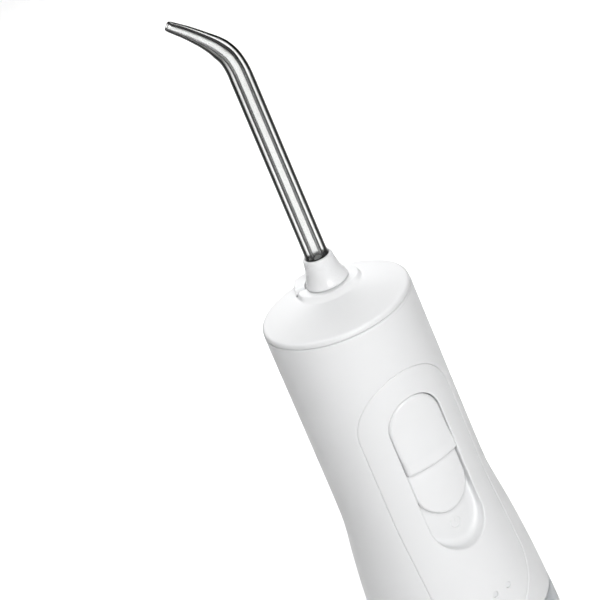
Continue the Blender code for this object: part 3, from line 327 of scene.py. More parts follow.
panel_rows = [on_body(*inset(inner_line, 0), -PANEL_THICK)]
panel_rows += edge_rows(inner_line, -SLOT_ROUND)
panel_rows += [across_panel(s, 0.0) for s in np.linspace(0, 1, 18)[1:]]
panel_rows += edge_rows(outer_line, PANEL_ROUND)[-2::-1]
panel_rows += [on_body(*inset(outer_line, 0), -PANEL_THICK)]
panel_rows += [across_panel(s, -PANEL_THICK) for s in np.linspace(1, 0, 8)]
panel = piece("panel_surface", [(np.stack(panel_rows), True, True)], "handle", ["control_panel"], "panel")

# %% [markdown]
# The mode button and the three lights need round holes in the panel, and the button needs one in the shell too.
# A Boolean cuts them cleanly, because the surfaces there are almost flat. Its cutters are turned profiles.

# %% Cutting round holes through a finished piece
def tube_rows(profile, centre, axis, steps=48):
    """Rings for a profile of (radius, height along axis) about the line through centre; axis is 'y-' or 'z'."""
    radius, height = (np.array(column, float)[:, None] for column in zip(*profile))
    turn = np.arange(steps) * 2 * math.pi / steps
    a, b = radius * np.cos(turn), radius * np.sin(turn)
    height = height + 0 * a
    parts = (a, -height, b) if axis == "y-" else (a, b, height)
    return np.stack(parts, -1) + np.array(centre, float)


def cut(made, cutters):
    """Subtract closed cutters from a piece with the exact Boolean, and keep only the resulting mesh."""
    for cutter in cutters:
        step = made.modifiers.new("hole", "BOOLEAN")
        step.operation, step.object, step.solver = "DIFFERENCE", cutter, "EXACT"
    bpy.context.view_layer.update()
    baked = bpy.data.meshes.new_from_object(made.evaluated_get(bpy.context.evaluated_depsgraph_get()))
    made.modifiers.clear()
    made.data = baked
    for cutter in cutters:
        bpy.data.objects.remove(cutter)
    smooth(made)
    return made


def bore(radius, centre, low, high):
    """A closed cylinder to cut with, from front to back."""
    profile = [(0, low), (radius, low), (radius, high), (0, high)]
    return piece("cutter", [(tube_rows(profile, centre, "y-"), False, True)], None)


BUTTON_Z, LIGHT_Z, LIGHT_X = 92.4, 98.4, (-5.0, 0.0, 5.0)
LIGHT_HOLE, PANEL_HOLE, SHELL_HOLE = 0.98, 3.2, 3.3
INSIDE, OUTSIDE = 15, 40
light_bores = [bore(LIGHT_HOLE, (x, 0, LIGHT_Z), INSIDE, OUTSIDE) for x in LIGHT_X]
cut(panel, [bore(PANEL_HOLE, (0, 0, BUTTON_Z), INSIDE, OUTSIDE)] + light_bores)
cut(housing, [bore(SHELL_HOLE, (0, 0, BUTTON_Z), INSIDE, OUTSIDE)])
print("panel faces with its holes:", len(panel.data.polygons))

# %% [markdown]
# ## Slide switch
# The switch is a long rounded slider. Its upper two thirds are a shallow dish for the thumb that rises to a
# ridge; under the ridge the face drops in one sharp step to a lower tongue. We give the height of its face along
# its length as a profile, and carry a section with rounded edges along it. Near the ends the section narrows to
# nothing, along the slot's half circles.

# %% Slide switch
SLIDER_HALF, SLIDER_LOW, SLIDER_HIGH = 8.7, 127.5, 166.4
FACE = np.array([[127.5, 21.35], [131.0, 21.45], [136.0, 21.5], [142.0, 21.4], [143.85, 21.35], [144.15, 21.5],
                 [144.3, 21.8], [144.4, 22.7], [144.55, 23.1], [144.9, 23.3], [145.5, 23.36], [147.5, 23.3],
                 [148.4, 23.15], [149.4, 22.75], [150.8, 22.5], [153.0, 22.32], [156.0, 22.2], [159.0, 22.2],
                 [162.0, 22.3], [164.5, 22.42], [166.4, 22.45]])
SLIDER_ROUND, SLIDER_FOOT, FOOT_GAP = 0.75, 19.45, 0.2
DISH_LOW, DISH_BLEND, DISH_HALF, DISH_DEPTH, DISH_LIFT = 144.5, 4, 8.0, 0.28, 0.12


def slider_rows():
    """Sections across the slider: a dished face with rounded edges, sides, and a foot clear of the fillet."""
    swing = np.linspace(0, math.pi / 2, 16)
    low_end = SLIDER_LOW + SLIDER_HALF * (1 - np.cos(swing))
    high_end = SLIDER_HIGH - SLIDER_HALF * (1 - np.cos(swing))
    steps = np.concatenate([FACE[4:11, 0], np.linspace(136.5, 143.5, 6), np.linspace(146, 157.5, 16)])
    z = np.unique(np.concatenate([low_end, steps, high_end]))
    straight_low, straight_high = SLIDER_LOW + SLIDER_HALF, SLIDER_HIGH - SLIDER_HALF
    past = np.maximum(np.maximum(straight_low - z, z - straight_high), 0)
    half = np.sqrt(np.maximum(SLIDER_HALF**2 - past**2, 0))[:, None]
    height = np.interp(z, FACE[:, 0], FACE[:, 1])[:, None]
    u = np.sin(np.linspace(-math.pi / 2, math.pi / 2, 41))[None, :]
    x = half * u
    edge = SLIDER_HALF - np.hypot(x, past[:, None])
    drop = SLIDER_ROUND - np.sqrt(np.maximum(SLIDER_ROUND**2 - np.maximum(SLIDER_ROUND - edge, 0) ** 2, 0))
    above = np.clip((z[:, None] - DISH_LOW) / DISH_BLEND, 0, 1)
    dish = DISH_DEPTH * above * np.clip(1 - (x / DISH_HALF) ** 2, 0, 1)
    face = wrap(x, z[:, None] + 0 * x, height - drop - dish + DISH_LIFT * above)
    back_x = half * np.linspace(1, -1, 25)[None, :]
    low_past = np.maximum(straight_low - z, 0)[:, None]
    near = np.maximum(END_FILLET - (SLIDER_HALF - np.hypot(back_x, low_past)) - FOOT_GAP, 0)
    sweep_up = (END_FILLET - np.sqrt(np.maximum(END_FILLET**2 - near**2, 0))) * np.clip(low_past / 4, 0, 1)
    under = wrap(back_x, z[:, None] + 0 * back_x, SLIDER_FOOT + sweep_up)
    return np.concatenate([face, under], 1)


piece("slider_surface", [(slider_rows(), False, True)], "slide_switch", ["slide_switch"], "switch", crease=50)

# %% [markdown]
# The slot's floor carries a small raised power sign: a ring with a gap and a bar in the gap, which is the usual
# public sign. It is one fine round bead, half sunk in the floor.

# %% Power sign
SIGN_Z, SIGN_RADIUS, BEAD = 122.2, 1.7, 0.12


def bead_rows(x, z, radius, steps=10):
    """Round bead along a line (x, z) on the slot's floor: circles across the line, drawn to a point at its ends."""
    along = np.stack([np.gradient(x), np.gradient(z)], -1)
    along /= np.linalg.norm(along, axis=1)[:, None]
    size = radius * np.clip(np.minimum(np.arange(len(x)), np.arange(len(x))[::-1]) / 2.0, 0, 1) ** 0.5
    turn = np.arange(steps) * 2 * math.pi / steps
    side, lift = size[:, None] * np.cos(turn), size[:, None] * np.sin(turn)
    return wrap(x[:, None] + side * along[:, 1:], z[:, None] - side * along[:, :1], SLOT_FLOOR + 0.03 + lift)


sweep = np.radians(np.linspace(125, 415, 40))
ring_bead = bead_rows(SIGN_RADIUS * np.cos(sweep), SIGN_Z + SIGN_RADIUS * np.sin(sweep), BEAD)
bar_bead = bead_rows(np.zeros(12), np.linspace(SIGN_Z + 0.3, SIGN_Z + 2.3, 12), BEAD)
piece("power_sign", [(ring_bead, False, True), (bar_bead, False, True)], "handle", slot="housing", crease=80)

# %% [markdown]
# ## Top cap
# The cap is a thin disc with a finely rounded rim. Round the nozzle it swells into a low platform, which slopes
# softly towards the front and ends in two small steps at its sides. Behind the nozzle a well holds the eject
# button. The nozzle sits off the middle and the whole cluster is turned a little, so the surface is blended from
# the nozzle's hole out to the cap's rim, with the height as one function of place.

# %% Top cap surface
CLUSTER_TURN = math.radians(-24.0)
NOZZLE_OUT = 11.3
NOZZLE = np.array([-NOZZLE_OUT * math.sin(CLUSTER_TURN), NOZZLE_OUT * math.cos(CLUSTER_TURN)])
CAP_PLANE, SEAM, PLATFORM = 193.6, 192.0, 1.4
HOLE_RADIUS = 4.25


def to_cluster(x, y):
    """Place in the cluster's own frame, whose second axis runs from the cap's middle to the nozzle."""
    c, s = math.cos(-CLUSTER_TURN), math.sin(-CLUSTER_TURN)
    return c * x - s * y, s * x + c * y


def from_cluster(x, y):
    """Place in the common frame of a point given in the cluster's own frame."""
    c, s = math.cos(CLUSTER_TURN), math.sin(CLUSTER_TURN)
    return c * x - s * y, s * x + c * y


def soft_step(t):
    """0 before 0, 1 after 1, and a smooth rise between."""
    t = np.clip(t, 0, 1)
    return t * t * (3 - 2 * t)


def cap_height(x, y):
    """Flat disc plus the platform: a soft slope in front, a short steep one at the two sides."""
    across, along = to_cluster(x, y)
    along = along - NOZZLE_OUT
    reach = np.hypot(across, along)
    sideness = soft_step((np.abs(across) / np.maximum(reach, 1e-6) - 0.72) / 0.25)
    start, width = 7.3 + 1.7 * sideness, 2.9 - 2.0 * sideness
    return CAP_PLANE + PLATFORM * (1 - soft_step((reach - start) / width))


CAP_STEPS, CAP_FLAT = 240, 21.2
cap_turn = np.arange(CAP_STEPS) * 2 * math.pi / CAP_STEPS
direction = np.stack([np.cos(cap_turn), np.sin(cap_turn)], -1)


def level(ring, z):
    """Points (x, y) lifted to one height, or each to its own."""
    return np.c_[ring, np.broadcast_to(z, len(ring))]


def cap_rows():
    """Hole wall, circles that grow and slide from the nozzle's hole to the cap's rim, then the rim and underside."""
    wall = (SEAM + 0.5, CAP_PLANE, CAP_PLANE + PLATFORM - 0.2)
    rows = [level(NOZZLE + HOLE_RADIUS * direction, low) for low in wall]
    ring = NOZZLE + (HOLE_RADIUS + 0.06) * direction
    rows.append(level(ring, cap_height(*ring.T) - 0.06))
    for s in np.linspace(0, 1, 90) ** 1.15:
        ring = (NOZZLE + (HOLE_RADIUS + 0.2) * direction) * (1 - s) + CAP_FLAT * direction * s
        rows.append(level(ring, cap_height(*ring.T)))
    rim = [(21.6, 193.57), (21.85, 193.49), (22.05, 193.35), (22.22, 193.12), (22.34, 192.85), (22.4, 192.5),
           (22.38, 192.25), (22.28, 192.08), (22.1, 192.0), (20.5, 192.0)]
    rows += [level(r * direction, z) for r, z in rim]
    for s in np.linspace(1, 0, 10):
        ring = NOZZLE * (1 - s) + direction * (HOLE_RADIUS + (20.0 - HOLE_RADIUS) * s)
        rows.append(level(ring, SEAM + 0.5))
    return np.stack(rows)


cap = piece("cap_surface", [(cap_rows(), False, True)], "handle", ["top_cap"], "cap", crease=40)

# %% [markdown]
# The eject button fills the well behind the nozzle. Its outline has a straight left side, an arc along the cap's
# rim, a straight front edge and a round bay for the collar. A flat plate with that outline gets its rounded
# edges from a Bevel modifier, which is quicker and more even than modelling each round.

# %% Eject button
BUTTON_ARC, BUTTON_LEFT, BUTTON_RIGHT, BUTTON_FRONT, BAY = 20.9, -9.9, 4.5, 12.2, 6.9
BUTTON_TOP, BUTTON_UNDER, BUTTON_ROUND, WELL_FLOOR = 196.0, 193.9, 0.45, 192.6


def button_outline(grow=0.0):
    """Left side, arc round the cap, right end, front edge and bay round the nozzle, in the cluster's frame."""
    arc, bay = BUTTON_ARC + grow, BAY - grow
    left, right, front_y = BUTTON_LEFT - grow, BUTTON_RIGHT + grow, BUTTON_FRONT - grow
    a0, a1 = math.atan2(math.sqrt(arc**2 - (left + 0.7) ** 2), left + 0.7), math.asin(right / arc)
    turn = np.linspace(a0, math.pi / 2 - a1, 40)
    bay_start = math.acos(min(1.0, right / bay))
    bay_end = math.pi - math.asin((front_y - NOZZLE_OUT) / bay)
    bay_turn = np.linspace(bay_start, bay_end, 40)
    x = np.concatenate([[left], arc * np.cos(turn), bay * np.cos(bay_turn)])
    y = np.concatenate([[front_y], arc * np.sin(turn), NOZZLE_OUT + bay * np.sin(bay_turn)])
    return np.stack(from_cluster(x, y), -1)


def slab(name, outline, low, high, body, nodes=(), slot=None):
    """A flat plate: the outline at two heights, closed by one many-sided face above and one below."""
    count = len(outline)
    points = np.concatenate([level(outline, low), level(outline, high)]) * MM
    ring = np.arange(count)
    walls = np.stack([ring, (ring + 1) % count, (ring + 1) % count + count, ring + count], -1)
    mesh = bpy.data.meshes.new(name)
    mesh.from_pydata(points.tolist(), [], walls.tolist() + [(ring + count).tolist(), ring[::-1].tolist()])
    work = bmesh.new()
    work.from_mesh(mesh)
    bmesh.ops.recalc_face_normals(work, faces=work.faces)
    work.to_mesh(mesh)
    work.free()
    return settle(name, mesh, body, nodes, slot)


button_plate = slab("eject_button_surface", button_outline(), BUTTON_UNDER, BUTTON_TOP, "eject_button",
                    ["eject_button"], "cap")
round_off = button_plate.modifiers.new("rounded edges", "BEVEL")
round_off.width, round_off.segments, round_off.limit_method = BUTTON_ROUND * MM, 4, "ANGLE"
round_off.angle_limit = math.radians(30)
smooth(button_plate, 30.0)
cut(cap, [slab("cutter", button_outline(0.3), WELL_FLOOR, 199.0, None)])
print("cap faces with its well:", len(cap.data.polygons))

# %% [markdown]
# ## Collar and nozzle
# The collar is turned: a wide rounded foot that sweeps up to a narrow mouth round the tube. A turned piece is
# its profile carried round the axis, so only the profile needs care.

# %% Nozzle collar
COLLAR_BASE = 195.3


def soft_profile(points, steps=8):
    """A smooth curve through (radius, height) points: Catmull-Rom pieces between each pair."""
    p = np.array(points, float)
    p = np.concatenate([[2 * p[0] - p[1]], p, [2 * p[-1] - p[-2]]])
    t = (np.arange(steps) / steps)[None, :, None]
    a, b, c, d = (p[k:len(p) - 3 + k][:, None, :] for k in range(4))
    curve = 0.5 * (2 * b + (c - a) * t + (2 * a - 5 * b + 4 * c - d) * t**2 + (3 * b - a - 3 * c + d) * t**3)
    return np.concatenate([curve.reshape(-1, 2), p[-2:-1]])


collar_side = soft_profile([(6.42, 0.42), (6.36, 0.8), (6.1, 1.4), (5.72, 2.3), (5.36, 3.4), (5.08, 4.6), (4.84, 5.8),
                            (4.64, 7.0), (4.52, 8.0), (4.46, 8.45)])
collar_foot = [(3.62, 8.45), (3.62, 0.2), (3.7, 0.0), (6.1, 0.0), (6.26, 0.05), (6.37, 0.18)]
collar_profile = collar_foot + collar_side.tolist()
collar_profile += [(4.4, 8.6), (4.28, 8.69), (4.12, 8.72), (3.82, 8.72), (3.69, 8.66), (3.63, 8.56)]
collar_rows = tube_rows(collar_profile, (*NOZZLE, COLLAR_BASE), "z", 128)
piece("collar_surface", [(collar_rows, True, True)], "nozzle", ["nozzle_collar"], "collar", crease=40)

# %% [markdown]
# The nozzle is one clear tube. Its centre line runs straight up, bends in a short smooth curve and ends in a
# slim straight tip. We space points evenly along that line, put a circle of the right radius square to the line
# at each, and do the same inside for the bore, so that light is bent by a true wall of plastic. Inside the collar
# the tube is bonded to a white shank, which makes the pale ring at the collar's mouth.

# %% Clear nozzle tube
BEND = np.array([math.cos(math.radians(158.5)), math.sin(math.radians(158.5))])
LINE = [(0, -20.8), (0, -8), (0, 0), (0, 15), (0, 30), (0, 45), (0, 57), (0, 66), (0.12, 70.8), (0.95, 75.1),
        (2.8, 78.75), (5.2, 81.95), (9.0, 86.2), (13.5, 90.5)]
SHANK, WAIST, TIP, BORE, TIP_BORE = 3.42, 2.98, 1.48, 1.2, 0.72


def tube_line(steps):
    """Even points along the smooth centre line, as (distance towards the bend, height above the collar's base)."""
    curve = soft_profile(LINE, 24)
    run = np.concatenate([[0], np.cumsum(np.linalg.norm(np.diff(curve, axis=0), axis=1))])
    even = np.linspace(0, run[-1], steps)
    return np.stack([np.interp(even, run, curve[:, k]) for k in (0, 1)], -1), even


def tube_surface(line, radius, steps=64):
    """Circles square to the line: centre + radius * (cos * sideways + sin * (sideways x along))."""
    along = np.gradient(line, axis=0)
    along /= np.linalg.norm(along, axis=1)[:, None]
    centre = np.concatenate([NOZZLE + line[:, :1] * BEND, COLLAR_BASE + line[:, 1:]], 1)
    across = np.array([-BEND[1], BEND[0], 0.0])
    normal = np.concatenate([along[:, 1:] * BEND, -along[:, :1]], 1)
    turn = np.arange(steps) * 2 * math.pi / steps
    ring = np.cos(turn)[:, None] * across + np.sin(turn)[:, None] * normal[:, None, :]
    return centre[:, None, :] + np.asarray(radius)[:, None, None] * ring


line, run = tube_line(220)
print("length of the tube in mm:", round(float(run[-1]), 1))
height = line[:, 1]
outer = np.interp(height, [-20.8, 68, 78, 82.3, 90.5], [SHANK, SHANK, WAIST + 0.1, 2.35, TIP])
inner = np.interp(height, [-20.8, 76, 90.5], [BORE, BORE, TIP_BORE])
outer[-1] -= 0.18
outer[-2] -= 0.03


def tube_piece(name, keep, slot, nodes=()):
    """The closed wall of one stretch of the tube: outside upwards, then the bore downwards."""
    whole, hollow = tube_surface(line, outer)[keep], tube_surface(line, inner)[keep][::-1]
    return piece(name, [(np.concatenate([whole, hollow]), True, True)], "nozzle", nodes, slot, crease=60)


SHANK_TOP = 7.9
tube_piece("nozzle_surface", height >= SHANK_TOP, "clear", ["nozzle_tube"])
tube_piece("nozzle_shank", height < SHANK_TOP, "collar")

# %% [markdown]
# ## Water tank
# The tank carries on the handle's flare and rounds in at the foot. It is a frosted shell with a real wall. At
# the back a shallow seat and a hole take the fill lid. The seat is cut with a plate that follows the same curve.

# %% Water tank shell
TANK_LOW, TANK_TOP, TANK_WALL, TANK_FLOOR = 1.0, 84.0, 2.5, 4.0
foot_r = float(body_radius(4.0))


def tank_profile():
    """Outside from the foot up, over the mouth's rounded edge, and down the inside to the floor's middle."""
    outside = [(0, TANK_LOW), (foot_r - 3.2, TANK_LOW), (foot_r - 2.2, 1.25), (foot_r - 1.2, 1.8),
               (foot_r - 0.45, 2.7), (foot_r - 0.1, 3.8)]
    outside += [(float(body_radius(z)), z) for z in np.linspace(5.2, TANK_TOP - 0.35, 60)]
    top = float(body_radius(TANK_TOP))
    mouth = [(top - 0.1, TANK_TOP - 0.1), (top - 0.35, TANK_TOP), (top - TANK_WALL + 0.3, TANK_TOP)]
    inside = [(float(body_radius(z)) - TANK_WALL, z) for z in np.linspace(TANK_TOP - 0.3, TANK_FLOOR + 2.0, 50)]
    inner_r = foot_r - TANK_WALL
    return outside + mouth + inside + [(inner_r - 0.6, TANK_FLOOR + 0.6), (inner_r - 2, TANK_FLOOR), (0, TANK_FLOOR)]


tank = piece("tank_surface", [(ring_rows(tank_profile()), False, True)], "tank", ["water_tank"], "tank")

# %% [markdown]
# The fill lid and the charging flap are curved plates, flush with the body. One function makes such a plate from
# its outline and the heights of its two faces, and the same plate, a little larger, cuts the seat it lies in.

# %% Plates that follow the body's curve
def wrapped_plate(name, outline, low_lift, high_lift, edge_round, body, nodes=(), slot=None):
    """Underside, side wall, rounded edge and face of a plate at the back, between two lifts above the body."""
    middle_z = float(np.mean(outline[1]))
    x, z = inset(outline, 0)
    rows = [on_body(x * s, middle_z + (z - middle_z) * s, low_lift, True) for s in np.linspace(0, 1, 7)]
    rows += edge_rows(outline, edge_round, high_lift, True)[:None if edge_round else 1]
    x, z = inset(outline, edge_round)
    rows += [on_body(x * s, middle_z + (z - middle_z) * s, high_lift, True) for s in np.linspace(1, 0, 14)]
    return piece(name, [(np.stack(rows), False, True)], body, nodes, slot)


LID_Z, LID_HOLE_Z, LID_HINGE_Z, LID_HINGE_Y = 66.0, 65.8, 75.6, 28.28
seat = wrapped_plate("cutter", rounded_box(11.25, 9.25, LID_Z, 2.6), -1.45, 3.0, 0, None)


def back_rows(outline, steps):
    """Rows straight through the back: at each (s, y) the outline, shrunk to s about its middle, at depth y."""
    x, z = inset(outline, 0)
    middle_z = float(np.mean(z))
    return np.stack([np.stack([-x * s, y + 0 * x, middle_z + (z - middle_z) * s], -1) for s, y in steps])


hole_rows = back_rows(rounded_box(7.5, 5.8, LID_HOLE_Z, 2.0), ((0, INSIDE), (1, INSIDE), (1, OUTSIDE), (0, OUTSIDE)))
cut(tank, [seat, piece("cutter", [(hole_rows, False, True)], None)])
print("tank faces with its lid seat:", len(tank.data.polygons))

# %% [markdown]
# The lid is a curved plate with a plug under it, on a hinge at its top edge. The hinge has a knuckle on the lid
# between two ears on the tank, with the steel pin through all three.

# %% Fill lid and its hinge
wrapped_plate("fill_lid_surface", rounded_box(11.0, 9.0, LID_Z, 2.4), -1.4, 0.0, 0.3, "fill_lid",
              ["fill_lid"], "lid")


def hinge_cylinder(name, radius, x_low, x_high, body, slot):
    """A cylinder with rounded ends about the hinge's line."""
    turn = np.arange(48) * 2 * math.pi / 48
    edge, soft = 0.25, 0.075
    profile = [(0, x_low), (radius - edge, x_low), (radius - soft, x_low + soft), (radius, x_low + edge),
               (radius, x_high - edge), (radius - soft, x_high - soft), (radius - edge, x_high), (0, x_high)]
    r, x = (np.array(column, float)[:, None] for column in zip(*profile))
    rows = np.stack([x + 0 * r * turn, LID_HINGE_Y + r * np.cos(turn), LID_HINGE_Z + r * np.sin(turn)], -1)
    return piece(name, [(rows, False, True)], body, (), slot)


hinge_cylinder("lid_knuckle", 1.5, -3.7, 3.7, "fill_lid", "lid")
for number, (low, high) in enumerate(((-7.0, -4.2), (4.2, 7.0)), 1):
    hinge_cylinder(f"tank_ear_{number}", 1.25, low, high, "tank", "tank")
plug_steps = ((0, 22.6), (0.9, 22.6), (1, 22.9), (1, 26.2), (0, 26.2))
plug_rows = back_rows(rounded_box(6.5, 4.5, LID_HOLE_Z, 1.6), plug_steps)
piece("lid_plug", [(plug_rows, False, True)], "fill_lid", (), "lid")

# %% [markdown]
# Three small soft parts are left: the flap over the charging socket, the mode button with its slightly hollow
# face, and the foot, which stands on a rim so that it doesn't rock.

# %% Charging flap, mode button and foot
wrapped_plate("port_cover_surface", rounded_box(7.5, 4.8, FLAP_Z, 1.7), -1.2, 0.0, 0.25, "port_cover",
              ["port_cover"], "grey_rubber")
face = float(body_radius(BUTTON_Z))
mode_profile = [(0, face - 2.0), (2.9, face - 2.0), (2.98, face - 1.9), (2.98, face + 0.15), (2.9, face + 0.36),
                (2.7, face + 0.48), (2.4, face + 0.5), (1.8, face + 0.42), (0.9, face + 0.34), (0, face + 0.32)]
mode_rows = tube_rows(mode_profile, (0, 0, BUTTON_Z), "y-", 72)
piece("mode_button_surface", [(mode_rows, False, True)], "mode_button", ["mode_button"], "grey_rubber")
foot_profile = [(0, 0.35), (14, 0.35), (14.6, 0.0), (21.3, 0.0), (21.8, 0.2), (22.0, 0.6), (22.0, 1.8), (0, 1.8)]
foot_rows = tube_rows(foot_profile, (0, 0, 0), "z", 128)
piece("foot_surface", [(foot_rows, False, True)], "tank", ["base_foot"], "grey_rubber")

# %% [markdown]
# # Finishes
# Shader maths reads best as plain arithmetic. A small class wraps a socket and turns + - * / into Math nodes,
# and one method adds any other node with its settings and inputs.

# %% A small shader language
class Value:
    """A shader socket that does arithmetic: each operator adds one Math node to the same tree."""

    def __init__(self, finish, socket):
        self.finish, self.socket = finish, socket

    def __add__(self, other):
        return self.finish.math("ADD", self, other)

    def __sub__(self, other):
        return self.finish.math("SUBTRACT", self, other)

    def __rsub__(self, other):
        return self.finish.math("SUBTRACT", other, self)

    def __mul__(self, other):
        return self.finish.math("MULTIPLY", self, other)

    def __truediv__(self, other):
        return self.finish.math("DIVIDE", self, other)

    __radd__, __rmul__ = __add__, __mul__


class Finish:
    """One material and its node tree."""

    def __init__(self, name):
        self.material = bpy.data.materials.new(name)
        self.material.use_nodes = True
        self.tree = self.material.node_tree
        self.tree.nodes.clear()

    def node(self, kind, settings=(), inputs=(), output=0):
        """Add a node: settings first, then numbers on its sockets or links from other values."""
        made = self.tree.nodes.new(kind)
        for key, value in dict(settings).items():
            setattr(made, key, value)
        for key, value in dict(inputs).items():
            if isinstance(value, Value):
                self.tree.links.new(value.socket, made.inputs[key])
            else:
                made.inputs[key].default_value = value
        return Value(self, made.outputs[output])

    def math(self, operation, a, b=0.0):
        """One Math node on values or numbers."""
        return self.node("ShaderNodeMath", {"operation": operation}, {0: a, 1: b})

    def place(self, stretch=(1, 1, 1)):
        """Object coordinates in metres, stretched along the axes."""
        coordinates = self.node("ShaderNodeTexCoord", output="Object")
        return self.node("ShaderNodeMapping", inputs={"Vector": coordinates, "Scale": stretch})

    def noise(self, grain, detail=3.0, stretch=(1, 1, 1)):
        """Noise whose grains are about the given size in millimetres, from 0 to 1."""
        inputs = {"Vector": self.place(stretch), "Scale": 1 / (grain * MM), "Detail": detail, "Roughness": 0.55}
        return self.node("ShaderNodeTexNoise", inputs=inputs)

    def blend(self, share, first, second):
        """Colour from first to second by share."""
        colours = {0: share, 6: (*first, 1), 7: (*second, 1)}
        return self.node("ShaderNodeMix", {"data_type": "RGBA"}, colours, 2)

    def bump(self, height, depth):
        """Surface relief of a depth in millimetres from a height of 0 to 1."""
        return self.node("ShaderNodeBump", inputs={"Distance": depth * MM, "Height": height})

    def finish(self, **inputs):
        """The surface shader; a name such as Base_Color stands for the socket Base Color."""
        named = {key.replace("_", " "): value for key, value in inputs.items()}
        return self.surface(self.node("ShaderNodeBsdfPrincipled", inputs=named))

    def surface(self, shader):
        """Send a shader to the material's output."""
        out = self.tree.nodes.new("ShaderNodeOutputMaterial")
        self.tree.links.new(shader.socket, out.inputs["Surface"])
        return self.material

    def axis(self):
        """The upright direction as a vector."""
        return self.node("ShaderNodeCombineXYZ", inputs={"Z": 1.0})


# %% [markdown]
# The white parts are moulded ABS. Up close such plastic is never flat: the mould's spark-eroded texture gives a
# grain of a few tenths of a millimetre, the polish differs a little from place to place, and the wall draws in
# very slightly as it cools, which makes long soft waves. All three are noises of different sizes. Smoother parts
# get a shallower grain and a lower roughness.

# %% White moulded plastics
def moulded(name, colour, roughness, grain=0.45, depth=0.004, wave=0.012, tone=0.012, specular=0.45):
    """Satin plastic: fine grain and long waves as relief, and slow changes of polish and tone."""
    f = Finish(name)
    fine, cloud, slow = f.noise(grain, 2.0), f.noise(9.0, 3.0), f.noise(28.0, 2.0)
    darker = tuple(max(c - tone, 0) for c in colour)
    relief = f.node("ShaderNodeBump", inputs={"Distance": wave * MM, "Height": slow})
    relief = f.node("ShaderNodeBump", inputs={"Distance": depth * MM, "Height": fine, "Normal": relief})
    return f.finish(Base_Color=f.blend(cloud, colour, darker), Roughness=roughness - 0.05 + 0.1 * cloud + 0.04 * fine,
                    Normal=relief, Specular_IOR_Level=specular)


WHITE = (0.83, 0.835, 0.84)
finishes = {
    "housing": moulded("satin_white_housing", WHITE, 0.40),
    "cap": moulded("satin_white_cap", (0.82, 0.825, 0.83), 0.42),
    "panel": moulded("satin_white_panel", (0.84, 0.845, 0.85), 0.38, depth=0.003),
    "switch": moulded("smooth_white_switch", (0.85, 0.855, 0.86), 0.30, depth=0.001, wave=0.006),
    "collar": moulded("smooth_white_collar", (0.85, 0.855, 0.86), 0.26, depth=0.001, wave=0.006),
    "lid": moulded("white_lid", (0.82, 0.825, 0.83), 0.38),
    "frame": moulded("grey_glass_filled_nylon", (0.33, 0.35, 0.38), 0.5, grain=0.8, depth=0.02, tone=0.04),
    "gear": moulded("natural_nylon", (0.72, 0.69, 0.60), 0.42, grain=0.6, depth=0.006, tone=0.03),
    "black": moulded("black_moulding", (0.02, 0.02, 0.021), 0.42, grain=0.5, depth=0.008, tone=0.008),
    "cell": moulded("shrink_wrap", (0.05, 0.16, 0.42), 0.28, grain=2.5, depth=0.02, tone=0.03),
    "hose": moulded("silicone_hose", (0.66, 0.66, 0.63), 0.34, grain=1.2, depth=0.006, tone=0.03),
}
print("white finishes:", len(finishes))

# %% [markdown]
# Clear plastic bends light like glass, but a little less. The tank is the same kind of plastic with a frosted
# inner face, so it scatters what passes through. Rubber is rough with a faint powdery sheen. Metal shows the
# direction it was worked in, as a noise stretched along one axis.

# %% Clear plastic, rubber, metal and board
def clear_plastic(name, colour, roughness, transmission, depth=0.0015, grain=5.0, painted_edge_shade=0.0):
    """Transparent plastic with slight flow waves and haze. Painted edge shade mixes a black shader into a round
    tube's wall where it is met at a slant, painting its dark edge lines: across = cosine to the surface / cosine to
    the tube's own level, so height of view plays no part."""
    f = Finish(name)
    flow = f.noise(grain, 2.0, stretch=(1, 1, 0.35))
    haze = f.noise(14.0, 3.0)
    polish = roughness * 0.8 + roughness * 0.4 * haze
    glass = {"Base Color": (*colour, 1), "Roughness": polish, "IOR": 1.49, "Transmission Weight": transmission,
             "Normal": f.bump(flow, depth)}
    if not painted_edge_shade:
        return f.surface(f.node("ShaderNodeBsdfPrincipled", inputs=glass))
    facing = 1 - f.node("ShaderNodeLayerWeight", inputs={"Blend": 0.5}, output="Facing")
    slant = f.node("ShaderNodeLayerWeight", inputs={"Blend": 0.5, "Normal": f.axis()}, output="Facing")
    upward = 1 - slant
    level = f.math("SQRT", f.math("MAXIMUM", 1 - upward * upward, 0.05))
    across = facing / level
    # Painted shade: where the tube's wall is met at a slant, this mask mixes in a black shader that paints dark edge
    # lines.
    painted_edge_mask = f.node("ShaderNodeMapRange", {"clamp": True}, {"Value": across, "From Min": 0.76, "From Max": 0.62})
    black = {"Base Color": (0.004, 0.004, 0.004, 1), "Roughness": 0.15, "Specular IOR Level": 0.08}
    dark = f.node("ShaderNodeBsdfPrincipled", inputs=black)
    clear = f.node("ShaderNodeBsdfPrincipled", inputs=glass)
    return f.surface(f.node("ShaderNodeMixShader", inputs={0: painted_edge_mask * painted_edge_shade, 1: clear, 2: dark}))


def rubber(name, colour, roughness=0.62, grain=0.3, depth=0.012):
    """Soft rubber: a powdery grain, an uneven tone and a weak sheen."""
    f = Finish(name)
    fine, cloud = f.noise(grain, 3.0), f.noise(4.0, 4.0)
    darker = tuple(c * 0.88 for c in colour)
    return f.finish(Base_Color=f.blend(cloud, colour, darker), Roughness=roughness - 0.06 + 0.12 * cloud,
                    Normal=f.bump(fine, depth), Specular_IOR_Level=0.35, Sheen_Weight=0.12)


def worked_metal(name, colour, roughness, stretch=(1, 1, 8), depth=0.003):
    """Metal with fine tool marks across its long axis, and stains that change its polish."""
    f = Finish(name)
    marks, stain = f.noise(0.5, 3.0, stretch=stretch), f.noise(6.0, 4.0)
    darker = tuple(c * 0.86 for c in colour)
    return f.finish(Base_Color=f.blend(stain, colour, darker), Metallic=1.0, Normal=f.bump(marks, depth),
                    Roughness=roughness - 0.06 + 0.12 * stain + 0.06 * marks)


